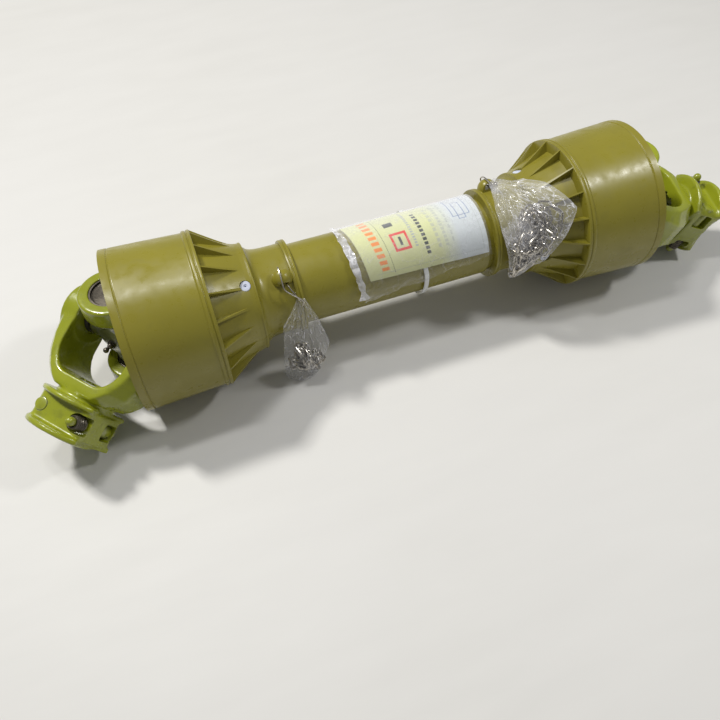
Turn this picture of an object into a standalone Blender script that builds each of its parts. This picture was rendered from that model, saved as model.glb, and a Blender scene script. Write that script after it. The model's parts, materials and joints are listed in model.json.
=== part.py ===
"""Universal joint shaft: two cross joints, a telescopic star-tube shaft and the guard that covers it.

Frame: metres, +X along the shaft to the right joint, +Z up, origin on the floor below the middle of the whole
object. It lies on its two guard bells, with both end yokes drooping to the floor. Everything is modelled round
the left cross and moved to that origin at the end.

Both ends hold the same pieces. They are modelled in an end frame: origin at the end's cross, +X towards the
middle of the shaft, +-Y through the ears of the tube yoke. The end yoke's hub points to -X when the joint is
straight. The right end frame is the left one turned half a turn about Z.
"""

import math

import bmesh
import bpy
from mathutils import Matrix, Vector

# Driving dimensions, in metres and degrees.
JOINT_SPACING = 0.534
GAP = 0.0003  # between neighbouring pieces
ROUND = 28  # segments of a large round
SMALL_ROUND = 12  # segments of a small round
TRUNNION_ROUND = 14  # segments of a cross's arm

SHAFT_ROLL = -94.0  # turn of the shaft about X inside its guard
DROOP = {"left": 39.5, "right": 13.0}  # turn of each cross about its tube yoke's ears
SWING = {"left": -24.7, "right": 23.1}  # turn of each end yoke about its own ears

CAP_R = 0.0175
CAP_OUT = 0.053
CAP_IN = 0.0365
TRUNNION_R = 0.011
TRUNNION_OUT = 0.0485
EAR_IN = 0.037
EAR_OUT = 0.056
EAR_R = 0.028
ARM_OUT = 0.0551
SNAP_RING_R = 0.0183
SNAP_RING_WIDTH = 0.0016
SNAP_GROOVE_R = 0.0189

FORK_BOTTOM = 0.058  # of the end yoke, from its ears' axis
FLANGE_R = 0.040
FLANGE_HALF = 0.031
INNER_FLANGE = (0.075, 0.080)
OUTER_FLANGE = (0.106, 0.1115)
HUB_END = 0.114
SPLINE_MAJOR_R = 0.0175
SPLINE_MINOR_R = 0.0150
SPLINES = 6

PIN_STATION = 0.093  # of the push pins, along the hub
PIN_OFFSET = 0.021  # of a push pin's axis from the hub's axis
PIN_R = 0.0065
PIN_BACK = -0.028
PIN_SEAT = 0.016  # floor of the spring's counterbore
PIN_CAP = (0.036, 0.039)
PIN_CAP_R = 0.0076
STEM_R = 0.0042
SPRING_R = 0.0064
SPRING_WIRE_R = 0.0008
SPRING_TURNS = 5

TUBE_YOKE_BOTTOM = 0.070
TUBE_HUB_R = 0.0355
TUBE_HUB_END = 0.127
GUARD_GROOVE = (0.114, 0.1194)
GUARD_GROOVE_R = 0.0346
GUARD_COLLAR_R = 0.0385
ROLL_PIN_STATION = 0.096
ROLL_PIN_R = 0.005

STAR_LOBES = 6
STAR_R = 0.0245  # mean radius of the inner star tube
STAR_DEPTH = 0.003  # half the height of a lobe
STAR_WALL = 0.0032
STAR_CLEARANCE = 0.0006
STAR_START = 0.078
INNER_STAR_END = 0.420
OUTER_STAR_END = 0.396

MOUTH = -0.001  # the bell's mouth, in the end frame
NECK_R = 0.0430
NECK_RING_R = 0.0458
TUBE_SEAT = 0.130  # where a guard tube starts inside its neck
RIBS = 18
RIB_WIDTH = 0.003
WINDOW_R = 0.0052
LUG_ANGLES = {"left": 62.0, "right": 121.0}  # eyelet and first window, from -Y towards +Z
EYELET_STATION = 0.152
EYELET_TOP = 0.0540

OUTER_GUARD_R = 0.0400
INNER_GUARD_R = 0.0371
GUARD_TUBE_WALL = 0.0024
OUTER_GUARD_END = 0.361
INNER_GUARD_END = 0.379

FLOOR = -0.079
BAG_FILM = 0.0008


# Solids, as meshes

def new_mesh(points, faces):
    """A closed mesh with its faces pointing out."""
    mesh = bpy.data.meshes.new("solid")
    mesh.from_pydata([tuple(point) for point in points], [], faces)
    work = bmesh.new()
    work.from_mesh(mesh)
    bmesh.ops.recalc_face_normals(work, faces=work.faces)
    work.to_mesh(mesh)
    work.free()
    return mesh


def loft(loops, closed=False):
    """The solid through rings of equally many points. A closed one joins its last ring to its first."""
    count = len(loops[0])
    points = [point for loop in loops for point in loop]
    faces = []
    for ring in range(len(loops) if closed else len(loops) - 1):
        here, there = ring * count, (ring + 1) % len(loops) * count
        for step in range(count):
            after = (step + 1) % count
            faces.append((here + step, here + after, there + after, there + step))
    if not closed:
        faces.append(tuple(range(count)))
        faces.append(tuple(range(len(points) - count, len(points))))
    return new_mesh(points, faces)


def circle(radius, count, x=0.0):
    """Points round the X axis."""
    turns = [2 * math.pi * step / count for step in range(count)]
    return [(x, radius * math.cos(turn), radius * math.sin(turn)) for turn in turns]


def turned(profile, count=ROUND):
    """The solid of (x, radius) points turned about X, from one flat end to the other."""
    return loft([circle(radius, count, x) for x, radius in profile])


def turned_ring(profile, count=ROUND):
    """The ring of a closed outline of (x, radius) points turned about X."""
    return loft([circle(radius, count, x) for x, radius in profile], closed=True)


def prism(outline, low, high, axis):
    """An outline extruded along an axis. Its pairs are (y, z), (x, z) or (x, y) for axis X, Y or Z."""
    index = "XYZ".index(axis)
    loops = []
    for level in (low, high):
        loop = []
        for pair in outline:
            point = list(pair)
            point.insert(index, level)
            loop.append(point)
        loops.append(loop)
    return loft(loops)


def moved(mesh, matrix):
    copy = mesh.copy()
    copy.transform(matrix)
    return copy


def merged(meshes):
    """One mesh of separate solids, to be used as one cutter or one addition."""
    work = bmesh.new()
    for mesh in meshes:
        work.from_mesh(mesh)
    together = bpy.data.meshes.new("solid")
    work.to_mesh(together)
    work.free()
    return together


def boolean(operation, mesh, *others):
    """A new mesh: the first with each of the others joined to it (UNION), cut off it (DIFFERENCE) or so on."""
    body = bpy.data.objects.new("body", mesh)
    tools = [bpy.data.objects.new("tool", other) for other in others]
    for thing in (body, *tools):
        bpy.context.scene.collection.objects.link(thing)
    for tool in tools:
        modifier = body.modifiers.new(operation, "BOOLEAN")
        modifier.operation = operation
        modifier.object = tool
    graph = bpy.context.evaluated_depsgraph_get()
    result = bpy.data.meshes.new_from_object(body.evaluated_get(graph))
    for thing in (body, *tools):
        bpy.data.objects.remove(thing)
    return cleaned(result)


def cleaned(mesh):
    """Joins faces that lie in one plane, so that a cut leaves no needless edges, where that keeps it closed."""
    for flatten in (True, False):
        work = bmesh.new()
        work.from_mesh(mesh)
        bmesh.ops.remove_doubles(work, verts=work.verts, dist=2e-6)
        if flatten:
            bmesh.ops.dissolve_limit(
                work, angle_limit=math.radians(0.4), verts=work.verts, edges=work.edges)
        bmesh.ops.triangulate(work, faces=work.faces)
        closed = all(edge.is_manifold for edge in work.edges)
        if closed or not flatten:
            work.to_mesh(mesh)
        work.free()
        if closed:
            break
    return mesh


def joined(mesh, *others):
    return boolean("UNION", mesh, *others)


def cut(mesh, *others):
    return boolean("DIFFERENCE", mesh, *others)


def arc(centre, radii, start, end, steps):
    """Points on an ellipse from one angle to another, in degrees."""
    angles = [math.radians(start + (end - start) * step / steps) for step in range(steps + 1)]
    return [(centre[0] + radii[0] * math.cos(a), centre[1] + radii[1] * math.sin(a)) for a in angles]


def around(angle, radius, x):
    """A point round the shaft, with the angle counted from -Y towards +Z."""
    turn = math.radians(angle)
    return Vector((x, -radius * math.cos(turn), radius * math.sin(turn)))


# Objects and their finishes

def finish(name, colour, roughness, metallic):
    material = bpy.data.materials.get(name)
    if material is None:
        material = bpy.data.materials.new(name)
        material.use_nodes = True
        shader = material.node_tree.nodes["Principled BSDF"]
        shader.inputs["Base Color"].default_value = (*colour, 1.0)
        shader.inputs["Roughness"].default_value = roughness
        shader.inputs["Metallic"].default_value = metallic
    return material


def enamel():
    return finish("green_enamel", (0.37, 0.42, 0.06), 0.28, 0.0)


def guard_plastic():
    return finish("guard_plastic", (0.30, 0.26, 0.05), 0.42, 0.0)


def bright_steel():
    return finish("bright_steel", (0.55, 0.55, 0.53), 0.35, 1.0)


def spring_steel():
    return finish("spring_steel", (0.16, 0.15, 0.13), 0.45, 1.0)


def nylon():
    return finish("white_nylon", (0.72, 0.75, 0.82), 0.5, 0.0)


def seal_rubber():
    return finish("seal_rubber", (0.04, 0.03, 0.025), 0.7, 0.0)


def clear_film():
    return finish("clear_film", (0.85, 0.86, 0.87), 0.15, 0.0)


def zinc_plate():
    return finish("zinc_plate", (0.62, 0.60, 0.56), 0.3, 1.0)


def printed_paper():
    return finish("printed_paper", (0.84, 0.88, 0.84), 0.5, 0.0)


def tie_plastic():
    return finish("tie_plastic", (0.80, 0.81, 0.80), 0.4, 0.0)


def place(name, mesh, material, parent, turn=None):
    """An object of the mesh in its parent's frame, smooth but for its edges."""
    thing = bpy.data.objects.new(name, mesh)
    bpy.context.scene.collection.objects.link(thing)
    if not mesh.materials:
        mesh.materials.append(material)
    mesh.shade_smooth()
    mesh.set_sharp_from_angle(angle=math.radians(32))
    thing.parent = parent
    thing.matrix_basis = turn or Matrix.Identity(4)
    return thing


def pivot(name, parent=None, matrix=None):
    """An empty on a joint's axis."""
    empty = bpy.data.objects.new(name, None)
    bpy.context.scene.collection.objects.link(empty)
    empty.parent = parent
    empty.matrix_basis = matrix or Matrix.Identity(4)
    return empty


# Bearings of a cross

def bearing_cap():
    """A cup, closed at its outer end. It lies along +X, the way it sits in an ear."""
    inside = TRUNNION_R + 0.0004
    edge = 0.0008
    return turned([
        (TRUNNION_OUT + GAP, inside), (CAP_IN, inside), (CAP_IN, CAP_R),
        (CAP_OUT - edge, CAP_R), (CAP_OUT, CAP_R - edge),
    ], SMALL_ROUND)


def cross_seal():
    return turned_ring([
        (CAP_IN - 0.0040, TRUNNION_R + 0.0004), (CAP_IN - 0.0040, 0.0155),
        (CAP_IN - GAP, 0.0165), (CAP_IN - GAP, TRUNNION_R + 0.0004),
    ], SMALL_ROUND)


def snap_ring():
    """An open ring with an eye at each end, lying in the ear's groove outside the cap."""
    low = CAP_OUT + GAP
    opening = 34.0
    inner, outer = SNAP_RING_R - 0.0030, SNAP_RING_R
    steps = 9
    angles = [opening / 2 + (360 - opening) * step / steps for step in range(steps + 1)]
    rim = [(outer * math.cos(math.radians(a)), outer * math.sin(math.radians(a))) for a in angles]
    bore = [(inner * math.cos(math.radians(a)), inner * math.sin(math.radians(a))) for a in angles]
    eye = 0.0036
    first = [(bore[0][0] - eye, bore[0][1] - 0.0004), (bore[0][0] - eye, bore[0][1] + eye)]
    last = [(x, -y) for x, y in reversed(first)]
    return prism(rim + last + list(reversed(bore[1:-1])) + first, low, low + SNAP_RING_WIDTH, "X")


def cross():
    """Four trunnions round a forged middle, drilled for the nipple on its -X side."""
    arm = turned([
        (-TRUNNION_OUT, TRUNNION_R), (-0.0315, TRUNNION_R), (-0.0310, 0.0150),
        (0.0310, 0.0150), (0.0315, TRUNNION_R), (TRUNNION_OUT, TRUNNION_R),
    ], TRUNNION_ROUND)
    along_y = moved(arm, Matrix.Rotation(math.pi / 2, 4, "Z"))
    along_z = moved(arm, Matrix.Rotation(math.pi / 2, 4, "Y"))
    middle = turned([(-0.0180, 0.0070), (-0.0155, 0.0190), (0.0162, 0.0190)], SMALL_ROUND)
    hole = turned([(-0.025, 0.0034), (-0.010, 0.0034)], 10)
    return cut(joined(along_y, along_z, middle), hole)


def grease_nipple():
    """Screwed into the cross on the side of the end yoke."""
    return turned([
        (-0.0105, 0.0030), (-0.0182, 0.0030), (-0.0183, 0.0048), (-0.0225, 0.0048),
        (-0.0270, 0.0024), (-0.0285, 0.0034), (-0.0305, 0.0034), (-0.0320, 0.0016),
    ], 10)


# Yokes

def octagon(x, half_y, half_z, chamfer):
    """A section of a forged arm: a rectangle with its corners cut off."""
    corner = [(half_y, half_z - chamfer), (half_y - chamfer, half_z)]
    quarter = corner + [(-y, z) for y, z in reversed(corner)]
    return [(x, y, z) for y, z in quarter + [(-y, -z) for y, z in quarter]]


def fork_opening(half_width, straight, corner, bottom):
    """Outline of the space between two arms, as (depth, width) pairs from the mouth round its bottom."""
    side = [(-0.035, half_width)] + arc(
        (straight, half_width - corner), (bottom - straight, corner), 90, 0, 5)
    return side + [(depth, -width) for depth, width in reversed(side)]


def ear_bosses(axis):
    """Two round bosses on an axis, with the space between them free."""
    edge = 0.0015
    boss = turned([(EAR_IN - 0.0008, EAR_R), (EAR_OUT - edge, EAR_R), (EAR_OUT, EAR_R - edge)], 16)
    return [moved(boss, ear_turn(axis, side)) for side in (1, -1)]


def ear_bore():
    """Cutter for one ear, with the snap ring's groove."""
    wall = CAP_R + GAP
    groove = CAP_OUT + 0.0001
    groove_end = CAP_OUT + SNAP_RING_WIDTH + 2 * GAP
    return turned([
        (EAR_IN - 0.010, wall), (groove, wall), (groove, SNAP_GROOVE_R), (groove_end, SNAP_GROOVE_R),
        (groove_end, wall), (EAR_OUT + 0.005, wall),
    ], SMALL_ROUND)


def ear_turn(axis, side):
    """Turns a piece that lies along +X onto an ear's side of the Y or Z axis."""
    if axis == "Y":
        return Matrix.Rotation(side * math.pi / 2, 4, "Z")
    return Matrix.Rotation(-side * math.pi / 2, 4, "Y")


def spline_outline():
    """Six grooves between six teeth, for the stub shaft that the hub slides onto."""
    outline = []
    for tooth in range(SPLINES):
        for radius, turn in (
            (SPLINE_MINOR_R, -14), (SPLINE_MINOR_R, 14), (SPLINE_MAJOR_R, 16),
            (SPLINE_MAJOR_R, 30), (SPLINE_MAJOR_R, 44),
        ):
            angle = math.radians(60 * tooth + turn)
            outline.append((radius * math.cos(angle), radius * math.sin(angle)))
    return outline


def flange_outline():
    """A disc cut flat on two sides, which leaves a horn beside each push pin."""
    reach = math.degrees(math.asin(FLANGE_HALF / FLANGE_R))
    lobe = arc((0, 0), (FLANGE_R, FLANGE_R), -reach, reach, 7)
    return lobe + [(-y, -z) for y, z in lobe]


def rounded_square(half_y, half_z, radius, steps=2):
    corner = arc((half_y - radius, half_z - radius), (radius, radius), 0, 90, steps)
    half = corner + [(-y, z) for y, z in reversed(corner)]
    return half + [(-y, -z) for y, z in half]


def push_pin_turn(side):
    """Turns a piece that lies along +X onto one of the two push pins' axes."""
    return (
        Matrix.Translation((-PIN_STATION, 0, side * PIN_OFFSET))
        @ Matrix.Rotation(side * math.pi / 2, 4, "Z")
    )


def end_yoke():
    """A fork with ears on +-Z, and a splined hub towards -X that holds two push pins."""
    fork = loft([
        octagon(0.002, 0.0265, ARM_OUT, 0.004),
        octagon(-0.030, 0.0265, ARM_OUT, 0.008),
        octagon(-0.046, 0.0270, 0.0535, 0.012),
        octagon(-0.058, 0.0275, 0.0480, 0.014),
        octagon(-0.066, 0.0280, 0.0400, 0.014),
        octagon(-0.071, 0.0270, 0.0310, 0.011),
    ])
    opening = prism([(-depth, width) for depth, width in fork_opening(EAR_IN, 0.030, 0.022, FORK_BOTTOM)],
                    -0.05, 0.05, "Y")
    neck = turned([(-0.077, 0.0270), (-0.066, 0.0280)], 16)
    waist = prism(rounded_square(0.027, 0.030, 0.008), -INNER_FLANGE[1] + 0.001, -OUTER_FLANGE[0] - 0.001, "X")
    rims = [prism(flange_outline(), -high, -low, "X") for low, high in (INNER_FLANGE, OUTER_FLANGE)]
    nose = turned([(-HUB_END, 0.0235), (-HUB_END + 0.001, 0.0245), (-OUTER_FLANGE[0] - 0.002, 0.0245)], 16)
    solid = joined(cut(fork, opening), *ear_bosses("Z"), neck, waist, *rims, nose)
    bore = prism(spline_outline(), -HUB_END - 0.005, -FORK_BOTTOM + 0.010, "X")
    pin_bore = turned([(-0.045, PIN_R + GAP), (PIN_SEAT, PIN_R + GAP), (PIN_SEAT, 0.0088), (0.045, 0.0088)], 12)
    pocket = prism(rounded_square(0.0085, 0.0085, 0.003), 0.018, 0.045, "Z")
    cutters = [bore]
    for side in (1, -1):
        cutters.append(moved(ear_bore(), ear_turn("Z", side)))
        cutters.append(moved(pin_bore, push_pin_turn(side)))
        half_turn = Matrix.Rotation(math.pi * (side < 0), 4, "X")
        cutters.append(moved(pocket, half_turn @ Matrix.Translation((-PIN_STATION, -0.0125, 0))))
    return cut(solid, *cutters)


def push_pin():
    """Lies along +X: a head, a locking part, a waist that frees the shaft, and a stem with the spring's cap."""
    return turned([
        (PIN_BACK, PIN_R), (0.003, PIN_R), (0.0045, 0.0034), (0.0105, 0.0034),
        (0.012, PIN_R), (PIN_SEAT - GAP, PIN_R), (PIN_SEAT - GAP, STEM_R), (PIN_CAP[0], STEM_R),
        (PIN_CAP[0], PIN_CAP_R), (PIN_CAP[1], PIN_CAP_R),
    ], 10)


def push_pin_spring():
    """A coil round the stem, between the counterbore's floor and the cap."""
    start = PIN_SEAT + GAP + SPRING_WIRE_R
    length = PIN_CAP[0] - GAP - SPRING_WIRE_R - start
    steps, sides = SPRING_TURNS * 7, 4
    loops = []
    for step in range(steps + 1):
        turn = 2 * math.pi * SPRING_TURNS * step / steps
        out = Vector((0, math.cos(turn), math.sin(turn)))
        centre = out * SPRING_R + Vector((start + length * step / steps, 0, 0))
        loop = []
        for side in range(sides):
            angle = 2 * math.pi * side / sides
            loop.append(centre + SPRING_WIRE_R * (math.cos(angle) * out + math.sin(angle) * Vector((1, 0, 0))))
        loops.append(loop)
    return loft(loops)


def star(radius, x):
    """A ring of points with six round lobes."""
    count = STAR_LOBES * 6
    points = []
    for step in range(count):
        turn = 2 * math.pi * step / count
        reach = radius + STAR_DEPTH * math.cos(STAR_LOBES * turn)
        points.append((x, reach * math.cos(turn), reach * math.sin(turn)))
    return points


def tube_yoke(star_radius):
    """A long fork with ears on +-Y, and a round hub towards +X that holds a star tube of that mean radius."""
    fork = loft([
        octagon(-0.002, ARM_OUT, 0.0235, 0.004),
        octagon(0.034, ARM_OUT, 0.0235, 0.007),
        octagon(0.050, 0.0535, 0.0235, 0.009),
        octagon(0.063, 0.0480, 0.0240, 0.010),
        octagon(0.074, 0.0410, 0.0250, 0.010),
        octagon(0.082, 0.0330, 0.0250, 0.010),
    ])
    opening = prism(fork_opening(EAR_IN, 0.044, 0.024, TUBE_YOKE_BOTTOM), -0.05, 0.05, "Z")
    low, high = GUARD_GROOVE
    collar = 0.002
    hub = turned([
        (0.0715, 0.0300), (0.076, TUBE_HUB_R), (low - collar, TUBE_HUB_R), (low - collar, GUARD_COLLAR_R),
        (low, GUARD_COLLAR_R), (low, GUARD_GROOVE_R), (high, GUARD_GROOVE_R), (high, GUARD_COLLAR_R),
        (high + collar, GUARD_COLLAR_R), (high + collar, TUBE_HUB_R), (TUBE_HUB_END - 0.001, TUBE_HUB_R),
        (TUBE_HUB_END, TUBE_HUB_R - 0.001),
    ])
    solid = joined(cut(fork, opening), *ear_bosses("Y"), hub)
    socket = loft([star(star_radius + GAP, x) for x in (TUBE_YOKE_BOTTOM - 0.010, TUBE_HUB_END + 0.005)])
    bores = [moved(ear_bore(), ear_turn("Y", side)) for side in (1, -1)]
    return cut(solid, socket, roll_pin_hole(), *bores)


def roll_pin_hole():
    hole = turned([(-0.05, ROLL_PIN_R + GAP), (0.05, ROLL_PIN_R + GAP)], 16)
    return moved(hole, Matrix.Translation((ROLL_PIN_STATION, 0, 0)) @ Matrix.Rotation(math.pi / 2, 4, "Y"))


def roll_pin():
    """A rolled steel sleeve with a slot down one side, across the hub and its tube."""
    half = TUBE_HUB_R - 0.0010
    inner = arc((0, 0), (ROLL_PIN_R - 0.0015,) * 2, 20, 340, 12)
    outer = arc((0, 0), (ROLL_PIN_R,) * 2, 12, 348, 12)
    outline = [(ROLL_PIN_STATION + x, y) for x, y in outer + list(reversed(inner))]
    return prism(outline, -half, half, "Z")


def star_tube(radius, end):
    """A six-lobed tube of that mean outside radius, drilled for its roll pin."""
    rings = [
        star(radius, STAR_START), star(radius, end),
        star(radius - STAR_WALL, end), star(radius - STAR_WALL, STAR_START),
    ]
    return cut(loft(rings, closed=True), roll_pin_hole())


# Guard

def cone_radius(x):
    """Outside of the cone between its ribs."""
    start, end = MOUTH + 0.084, MOUTH + 0.120
    return 0.066 + (0.0530 - 0.066) * (x - start) / (end - start)


def rib_radius(x):
    """Top of a rib: it starts level with the flange and runs out on the cone's lip."""
    start, end = MOUTH + 0.084, MOUTH + 0.121
    return 0.0762 + (0.0540 - 0.0762) * (x - start) / (end - start)


def bell_shell(neck_bore):
    outside = [
        (0.000, 0.0790), (0.076, 0.0752), (0.077, 0.0768), (0.084, 0.0768), (0.0843, 0.0660),
        (0.120, 0.0530), (0.1205, 0.0545), (0.126, 0.0545), (0.1272, 0.0490), (0.132, 0.0448),
        (0.139, 0.0434), (0.157, NECK_R), (0.158, NECK_RING_R), (0.168, NECK_RING_R),
    ]
    inside = [
        (0.168, neck_bore), (0.1295, neck_bore), (0.1285, 0.0405), (0.1245, 0.0490), (0.120, 0.0500),
        (0.0843, 0.0628), (0.0810, 0.0645), (0.0810, 0.0722), (0.000, 0.0760),
    ]
    return turned_ring([(MOUTH + x, radius) for x, radius in outside + inside])


def bell_ribs():
    start, end = MOUTH + 0.0835, MOUTH + 0.1205
    outline = [
        (start, cone_radius(start) - 0.0015), (start, rib_radius(start)),
        (end, rib_radius(end)), (end, cone_radius(end) - 0.0015),
    ]
    rib = prism(outline, -RIB_WIDTH / 2, RIB_WIDTH / 2, "Y")
    spacing = 2 * math.pi / RIBS
    return merged(moved(rib, Matrix.Rotation((turn + 0.5) * spacing, 4, "X")) for turn in range(RIBS))


def lug_turn(angle):
    """Turns a piece that stands on +Z to an angle counted from -Y towards +Z."""
    return Matrix.Rotation(math.radians(90 - angle), 4, "X")


def bell_windows(angle):
    station = sum(GUARD_GROOVE) / 2
    window = turned([(0.045, WINDOW_R), (0.060, WINDOW_R)], 10)
    upright = Matrix.Translation((station, 0, 0)) @ Matrix.Rotation(-math.pi / 2, 4, "Y")
    return merged(moved(window, lug_turn(angle + third) @ upright) for third in (0, 120, 240))


def guard_bell(neck_bore, angle):
    """A cup round the joint, with a ribbed cone, and a neck with an eyelet for the safety chain."""
    half = 0.010
    dome = [(EYELET_STATION - half, 0.0425)] + [
        (EYELET_STATION + x, 0.0450 + z) for x, z in arc((0, 0), (half, EYELET_TOP - 0.045), 180, 0, 8)
    ] + [(EYELET_STATION + half, 0.0425)]
    arch = [(EYELET_STATION - 0.006, 0.0450)] + [
        (EYELET_STATION + x, 0.0462 + z) for x, z in arc((0, 0), (0.006, 0.0040), 180, 0, 6)
    ] + [(EYELET_STATION + 0.006, 0.0450)]
    eyelet = moved(prism(dome, -0.004, 0.004, "Y"), lug_turn(angle))
    hole = moved(prism(arch, -0.02, 0.02, "Y"), lug_turn(angle))
    return cut(joined(bell_shell(neck_bore), bell_ribs(), eyelet), hole, bell_windows(angle))


def guard_bearing_ring(angle):
    """A ring that runs in the tube yoke's groove. Its three lugs hold the bell by the windows."""
    low, high = GUARD_GROOVE[0] + GAP, GUARD_GROOVE[1] - GAP
    inner = GUARD_GROOVE_R + 0.0005
    ring = turned_ring([(low, inner), (low, 0.0470), (high, 0.0470), (high, inner)])
    lug = turned([(0.045, 0.0022), (0.0485, 0.0022), (0.0487, WINDOW_R - GAP), (0.0533, WINDOW_R - GAP)], 10)
    upright = Matrix.Translation(((low + high) / 2, 0, 0)) @ Matrix.Rotation(-math.pi / 2, 4, "Y")
    lugs = merged(moved(lug, lug_turn(angle + third) @ upright) for third in (0, 120, 240))
    return joined(ring, lugs)


def guard_tube(radius, end):
    inner = radius - GUARD_TUBE_WALL
    return turned_ring([(TUBE_SEAT, inner), (TUBE_SEAT, radius), (end, radius), (end, inner)])


# Things that come with the guard

def eyelet_tie(angle):
    """A wire loop through the eyelet, which holds the chain's bag."""
    loop_r, wire_r = 0.0056, 0.0006
    steps, sides = 12, 4
    loops = []
    for step in range(steps):
        turn = 2 * math.pi * step / steps
        out = Vector((0, math.cos(turn), math.sin(turn)))
        centre = Vector((EYELET_STATION, 0, 0.0529)) + loop_r * out
        loops.append([
            centre + wire_r * (math.cos(a) * out + math.sin(a) * Vector((1, 0, 0)))
            for a in (2 * math.pi * side / sides for side in range(sides))
        ])
    return moved(loft(loops, closed=True), lug_turn(angle))


def blend(stops, value):
    """Straight-line value between (place, value) stops."""
    for (low, first), (high, last) in zip(stops, stops[1:]):
        if value <= high:
            share = max(0.0, (value - low) / (high - low))
            return first + (last - first) * share
    return stops[-1][1]


def left_bag_layer(level):
    """Back film of the left bag at a height: its ends along X, its place in Y and its bulge."""
    z = FLOOR + 0.001 + 0.104 * level
    low = blend([(FLOOR, 0.136), (0.003, 0.142), (0.026, 0.159)], z)
    high = blend([(FLOOR, 0.174), (-0.040, 0.186), (0.003, 0.176), (0.026, 0.167)], z)
    round_r = 0.0475
    y = -math.sqrt(round_r**2 - max(0.0, z) ** 2)
    back = [Vector((low + (high - low) * u / 6, y, z)) for u in range(7)]
    return back, Vector((0, -1, 0)), blend([(0.0, 0.013), (0.3, 0.017), (0.7, 0.010), (1.0, 0.003)], level)


def right_bag_layer(level):
    """Back film of the right bag at an angle round the neck, resting on the neck and on the ribs."""
    angle = -20 + 130 * level
    low = blend([(-20, 0.381), (45, 0.371), (70, 0.371), (110, 0.380)], angle)
    high = blend([(-20, 0.386), (5, 0.410), (30, 0.429), (50, 0.441), (80, 0.423), (110, 0.390)], angle)
    back = []
    for u in range(7):
        x = low + (high - low) * u / 6
        station = JOINT_SPACING - x
        radius = max(0.0472, blend([
            (MOUTH + 0.121, rib_radius(MOUTH + 0.121)), (MOUTH + 0.127, 0.0545), (MOUTH + 0.133, 0.0472),
        ], station))
        if station < MOUTH + 0.121:
            radius = rib_radius(station)
        back.append(around(angle, radius + 0.0034, x))
    out = around(angle, 1.0, 0.0)
    return back, out, blend([(0.0, 0.003), (0.3, 0.013), (0.6, 0.014), (1.0, 0.003)], level)


def pouch_loop(layer, inset=0.0, ends=0.0):
    """A flat closed loop between the back film and the bulged front, drawn in from both."""
    back, out, bulge = layer
    rows = []
    for place in range(7):
        share = ends + (1 - 2 * ends) * place / 6
        whole = min(int(share * 6), 5)
        base = back[whole].lerp(back[whole + 1], share * 6 - whole)
        depth = 0.0026 + bulge * math.sin(math.pi * share) ** 0.7
        rows.append((base + out * inset, base + out * (depth - inset)))
    return [low for low, high in rows] + [high for low, high in reversed(rows)]


def lining(loop, out, thickness):
    """The loop drawn in by a thickness within its own plane, which holds the X axis and out."""
    flat = [Vector((point.x, point.dot(out))) for point in loop]
    count = len(flat)
    area = sum(flat[k - 1].x * flat[k].y - flat[k].x * flat[k - 1].y for k in range(count))
    inward = 1 if area > 0 else -1
    result = []
    for index, point in enumerate(loop):
        before = (flat[index] - flat[index - 1]).normalized()
        after = (flat[(index + 1) % count] - flat[index]).normalized()
        sides = [Vector((-edge.y, edge.x)) * inward for edge in (before, after)]
        shift = (sides[0] + sides[1]) * (thickness / (1 + sides[0].dot(sides[1])))
        result.append(point + Vector((shift.x, 0, 0)) + out * shift.y)
    return result


def chain_bag(layer_at):
    """A flat pouch of clear film, open at its top."""
    steps = 8
    outer = [layer_at(step / steps) for step in range(steps + 1)]
    inner = [layer_at(0.03)] + outer[1:]
    return loft(
        [pouch_loop(layer) for layer in outer]
        + [lining(pouch_loop(layer), layer[1], BAG_FILM) for layer in reversed(inner)])


def chain_bundle(layer_at):
    """The coiled safety chain as one lump in its bag."""
    levels = [0.18, 0.26, 0.34, 0.42, 0.50, 0.56]
    return loft([pouch_loop(layer_at(level), 0.0039, 0.33) for level in levels])


def manual_booklet():
    """A curved booklet in a sleeve, wrapped askew on the tube."""
    start, end, inner, outer = 0.223, 0.359, OUTER_GUARD_R + 0.0005, OUTER_GUARD_R + 0.0020
    steps, stations = 12, 4
    loops = []
    for step in range(steps + 1):
        rows = []
        for station in range(stations + 1):
            share = station / stations
            low, high = -4 + 26 * share, 124 + 10 * share
            angle, x = low + (high - low) * step / steps, start + (end - start) * share
            rows.append((around(angle, inner, x), around(angle, outer, x)))
        loops.append([row[0] for row in rows] + [row[1] for row in reversed(rows)])
    return loft(loops)


def cable_tie():
    """A strap round the tube and the booklet, with its locking head."""
    x, width, inner = 0.289, 0.0046, OUTER_GUARD_R + 0.0023
    strap = turned_ring([(x, inner), (x, inner + 0.0012), (x + width, inner + 0.0012), (x + width, inner)])
    head = prism(rounded_square(0.0035, 0.0022, 0.0008, 1), -0.0035, 0.0035, "X")
    place_at = lug_turn(30) @ Matrix.Translation((x + width / 2, 0, inner + 0.0026))
    return joined(strap, moved(head, place_at))


# Assembly

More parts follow.
